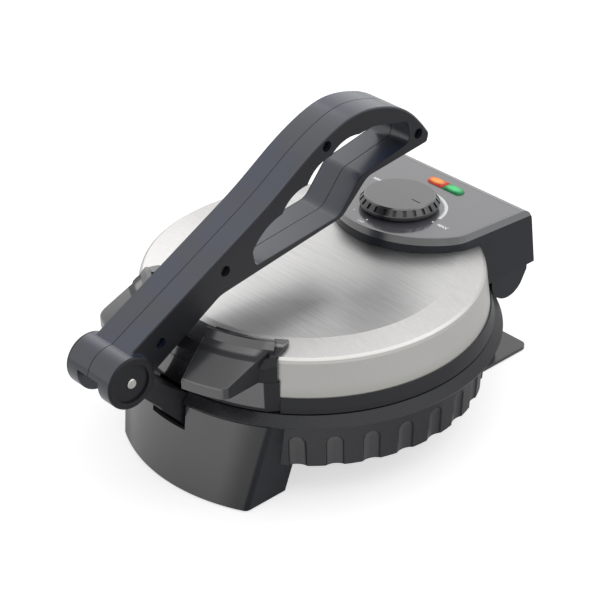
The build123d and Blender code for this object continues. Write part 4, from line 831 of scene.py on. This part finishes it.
def word(text, cap_height, boldness, thickness, material):
    """Upright sans letters as a thin solid, its lower left corner at the origin."""
    curve = bpy.data.curves.new("letters", "FONT")
    curve.body = text
    curve.size = 1.0
    curve.extrude = 0.5
    curve.offset = boldness
    piece = baked(bpy.data.objects.new("letters", curve), "scale_word_" + text.lower(), material)
    corners = [v.co.copy() for v in piece.data.vertices]
    low = Vector((min(c.x for c in corners), min(c.y for c in corners), 0.0))
    high = Vector((max(c.x for c in corners), max(c.y for c in corners), 0.0))
    size = cap_height / (high.y - low.y)
    piece.data.transform(Matrix.Diagonal((size, size, thickness, 1.0)) @ Matrix.Translation(-low))
    return piece


class PrintWords(bpy.types.Operator):
    """The words OFF, MIN and MAX at the ends of the scale"""

    bl_idname = "cooker.print_words"
    bl_label = "Scale words"

    def execute(self, context):
        look = context.scene.cooker_print
        ink = printed_ink("word_ink", look.ink).material
        self.put(look, ink, "MAX", (37.5 * MM, -1.5 * MM), cap_height=3.2 * MM, boldness=0.05)
        self.put(look, ink, "OFF", (-2.6 * MM, -38.9 * MM), cap_height=2.7 * MM, boldness=0.06)
        self.put(look, ink, "MIN", (-44.0 * MM, 16.4 * MM), cap_height=3.0 * MM, boldness=0.07)
        return {"FINISHED"}

    def put(self, look, ink, text, corner, cap_height, boldness):
        """Prints a word on the panel, its lower left corner at a place measured from the dial's axis."""
        piece = word(text, cap_height, boldness, look.thickness, ink)
        piece.data.transform(panel_place(corner[0], corner[1], look.thickness / 2))
        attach(piece, "lid")


# ---------------------------------------------------------------- stage
class BuildStage(bpy.types.Operator):
    """Pale floor, soft lamps and the camera"""

    bl_idname = "cooker.build_stage"
    bl_label = "Stage"

    def execute(self, context):
        look = context.scene.cooker_stage
        self.lay_floor(look)
        self.fill_room(context, look)
        self.hang_lamp("key_soft_box", (0.4, 0.3, 1.5), size=2.3, power=look.key_power)
        self.hang_lamp("side_soft_box", (-1.2, 0.35, 0.85), size=0.7, power=look.side_power)
        self.hang_lamp("rim_soft_box", (1.0, 0.75, 0.9), size=0.8, power=look.rim_power)
        self.place_camera(context, look)
        context.scene.view_settings.view_transform = "Standard"
        return {"FINISHED"}

    def seen(self, tree, strengths):
        """Sum of strengths, each counted for one kind of ray: from the eye, a mirror or glass."""
        path = add_node(tree, "ShaderNodeLightPath")
        total = 0.0
        for name, strength in strengths.items():
            inputs = {0: path.outputs[name], 1: strength, 2: total}
            total = add_node(tree, "ShaderNodeMath", inputs, operation="MULTIPLY_ADD").outputs[0]
        return total

    def lay_floor(self, look):
        """A matt sheet that looks white to the camera and in mirrors."""
        mesh = bpy.data.meshes.new("floor")
        near, far = -FLOOR_REACH, FLOOR_REACH
        corners = [(near, near, 0), (far, near, 0), (far, far, 0), (near, far, 0)]
        mesh.from_pydata(corners, [], [(0, 1, 2, 3)])
        floor = link(bpy.data.objects.new("floor", mesh))
        material = bpy.data.materials.new("floor_paper")
        material.use_nodes = True
        tree = material.node_tree
        glow = {"Is Camera Ray": look.floor_glow, "Is Glossy Ray": look.floor_mirror,
                "Is Transmission Ray": look.floor_mirror}
        paper = {"Base Color": rgba(look.floor), "Roughness": 0.9, "Specular IOR Level": 0.0,
                 "Emission Color": WHITE, "Emission Strength": self.seen(tree, glow)}
        for key, value in paper.items():
            feed(tree, tree.nodes["Principled BSDF"].inputs[key], value)
        mesh.materials.append(material)

    def fill_room(self, context, look):
        """A room that is white to the camera and in mirrors, and gives a softer light."""
        world = bpy.data.worlds.new("room")
        context.scene.world = world
        world.use_nodes = True
        tree = world.node_tree
        tree.nodes.clear()
        kinds = ("Is Camera Ray", "Is Glossy Ray", "Is Transmission Ray")
        soft = add_node(tree, "ShaderNodeBackground", {"Color": WHITE, "Strength": look.fill})
        white = add_node(tree, "ShaderNodeBackground", {"Color": WHITE, "Strength": 1.0})
        choose = add_node(tree, "ShaderNodeMixShader", {
            0: self.seen(tree, dict.fromkeys(kinds, 1.0)), 1: soft.outputs[0], 2: white.outputs[0]})
        add_node(tree, "ShaderNodeOutputWorld", {"Surface": choose.outputs[0]})

    def hang_lamp(self, name, place, size, power):
        """A square soft box at a place, turned to the middle of the cooker."""
        data = bpy.data.lights.new(name, "AREA")
        data.shape = "SQUARE"
        data.size = size
        data.energy = power
        lamp = link(bpy.data.objects.new(name, data))
        lamp.location = place
        lamp.rotation_euler = (Vector(place) - Vector(LAMP_AIM)).to_track_quat("Z", "Y").to_euler()

    def place_camera(self, context, look):
        """The camera that the scene is rendered from."""
        data = bpy.data.cameras.new("camera")
        data.lens = look.focal_length
        data.sensor_width = SENSOR_WIDTH
        camera = link(bpy.data.objects.new("camera", data))
        turn = Matrix((CAMERA_RIGHT, CAMERA_UP, CAMERA_BACK)).transposed().to_4x4()
        camera.matrix_world = Matrix.Translation(CAMERA_PLACE) @ turn
        context.scene.camera = camera


STEPS = (DressLid, DressBase, DressArm, DressPlates, DressDial, DressLamps, PrintScale, PrintWords,
         BuildStage)


class CookerPanel(bpy.types.Panel):
    """Lists the steps that dress the cooker"""

    bl_idname = "VIEW3D_PT_cooker"
    bl_label = "Flatbread cooker"
    bl_space_type = "VIEW_3D"
    bl_region_type = "UI"
    bl_category = "Cooker"

    def draw(self, context):
        for step in STEPS:
            self.layout.operator(step.bl_idname)


GROUPS = {"cooker_finishes": CookerFinishes, "cooker_print": CookerPrint, "cooker_stage": CookerStage}


def register():
    """Adds the classes and their settings to Blender."""
    for group in GROUPS.values():
        bpy.utils.register_class(group)
    for name, group in GROUPS.items():
        setattr(bpy.types.Scene, name, bpy.props.PointerProperty(type=group))
    for step in STEPS:
        bpy.utils.register_class(step)
    bpy.utils.register_class(CookerPanel)


def unregister():
    """Takes the classes and settings away again."""
    bpy.utils.unregister_class(CookerPanel)
    for step in reversed(STEPS):
        bpy.utils.unregister_class(step)
    for name, group in GROUPS.items():
        delattr(bpy.types.Scene, name)
        bpy.utils.unregister_class(group)


def main():
    """Dresses the cooker step by step."""
    register()
    for step in STEPS:
        group, name = step.bl_idname.split(".")
        getattr(getattr(bpy.ops, group), name)()


if __name__ == "__main__":
    main()
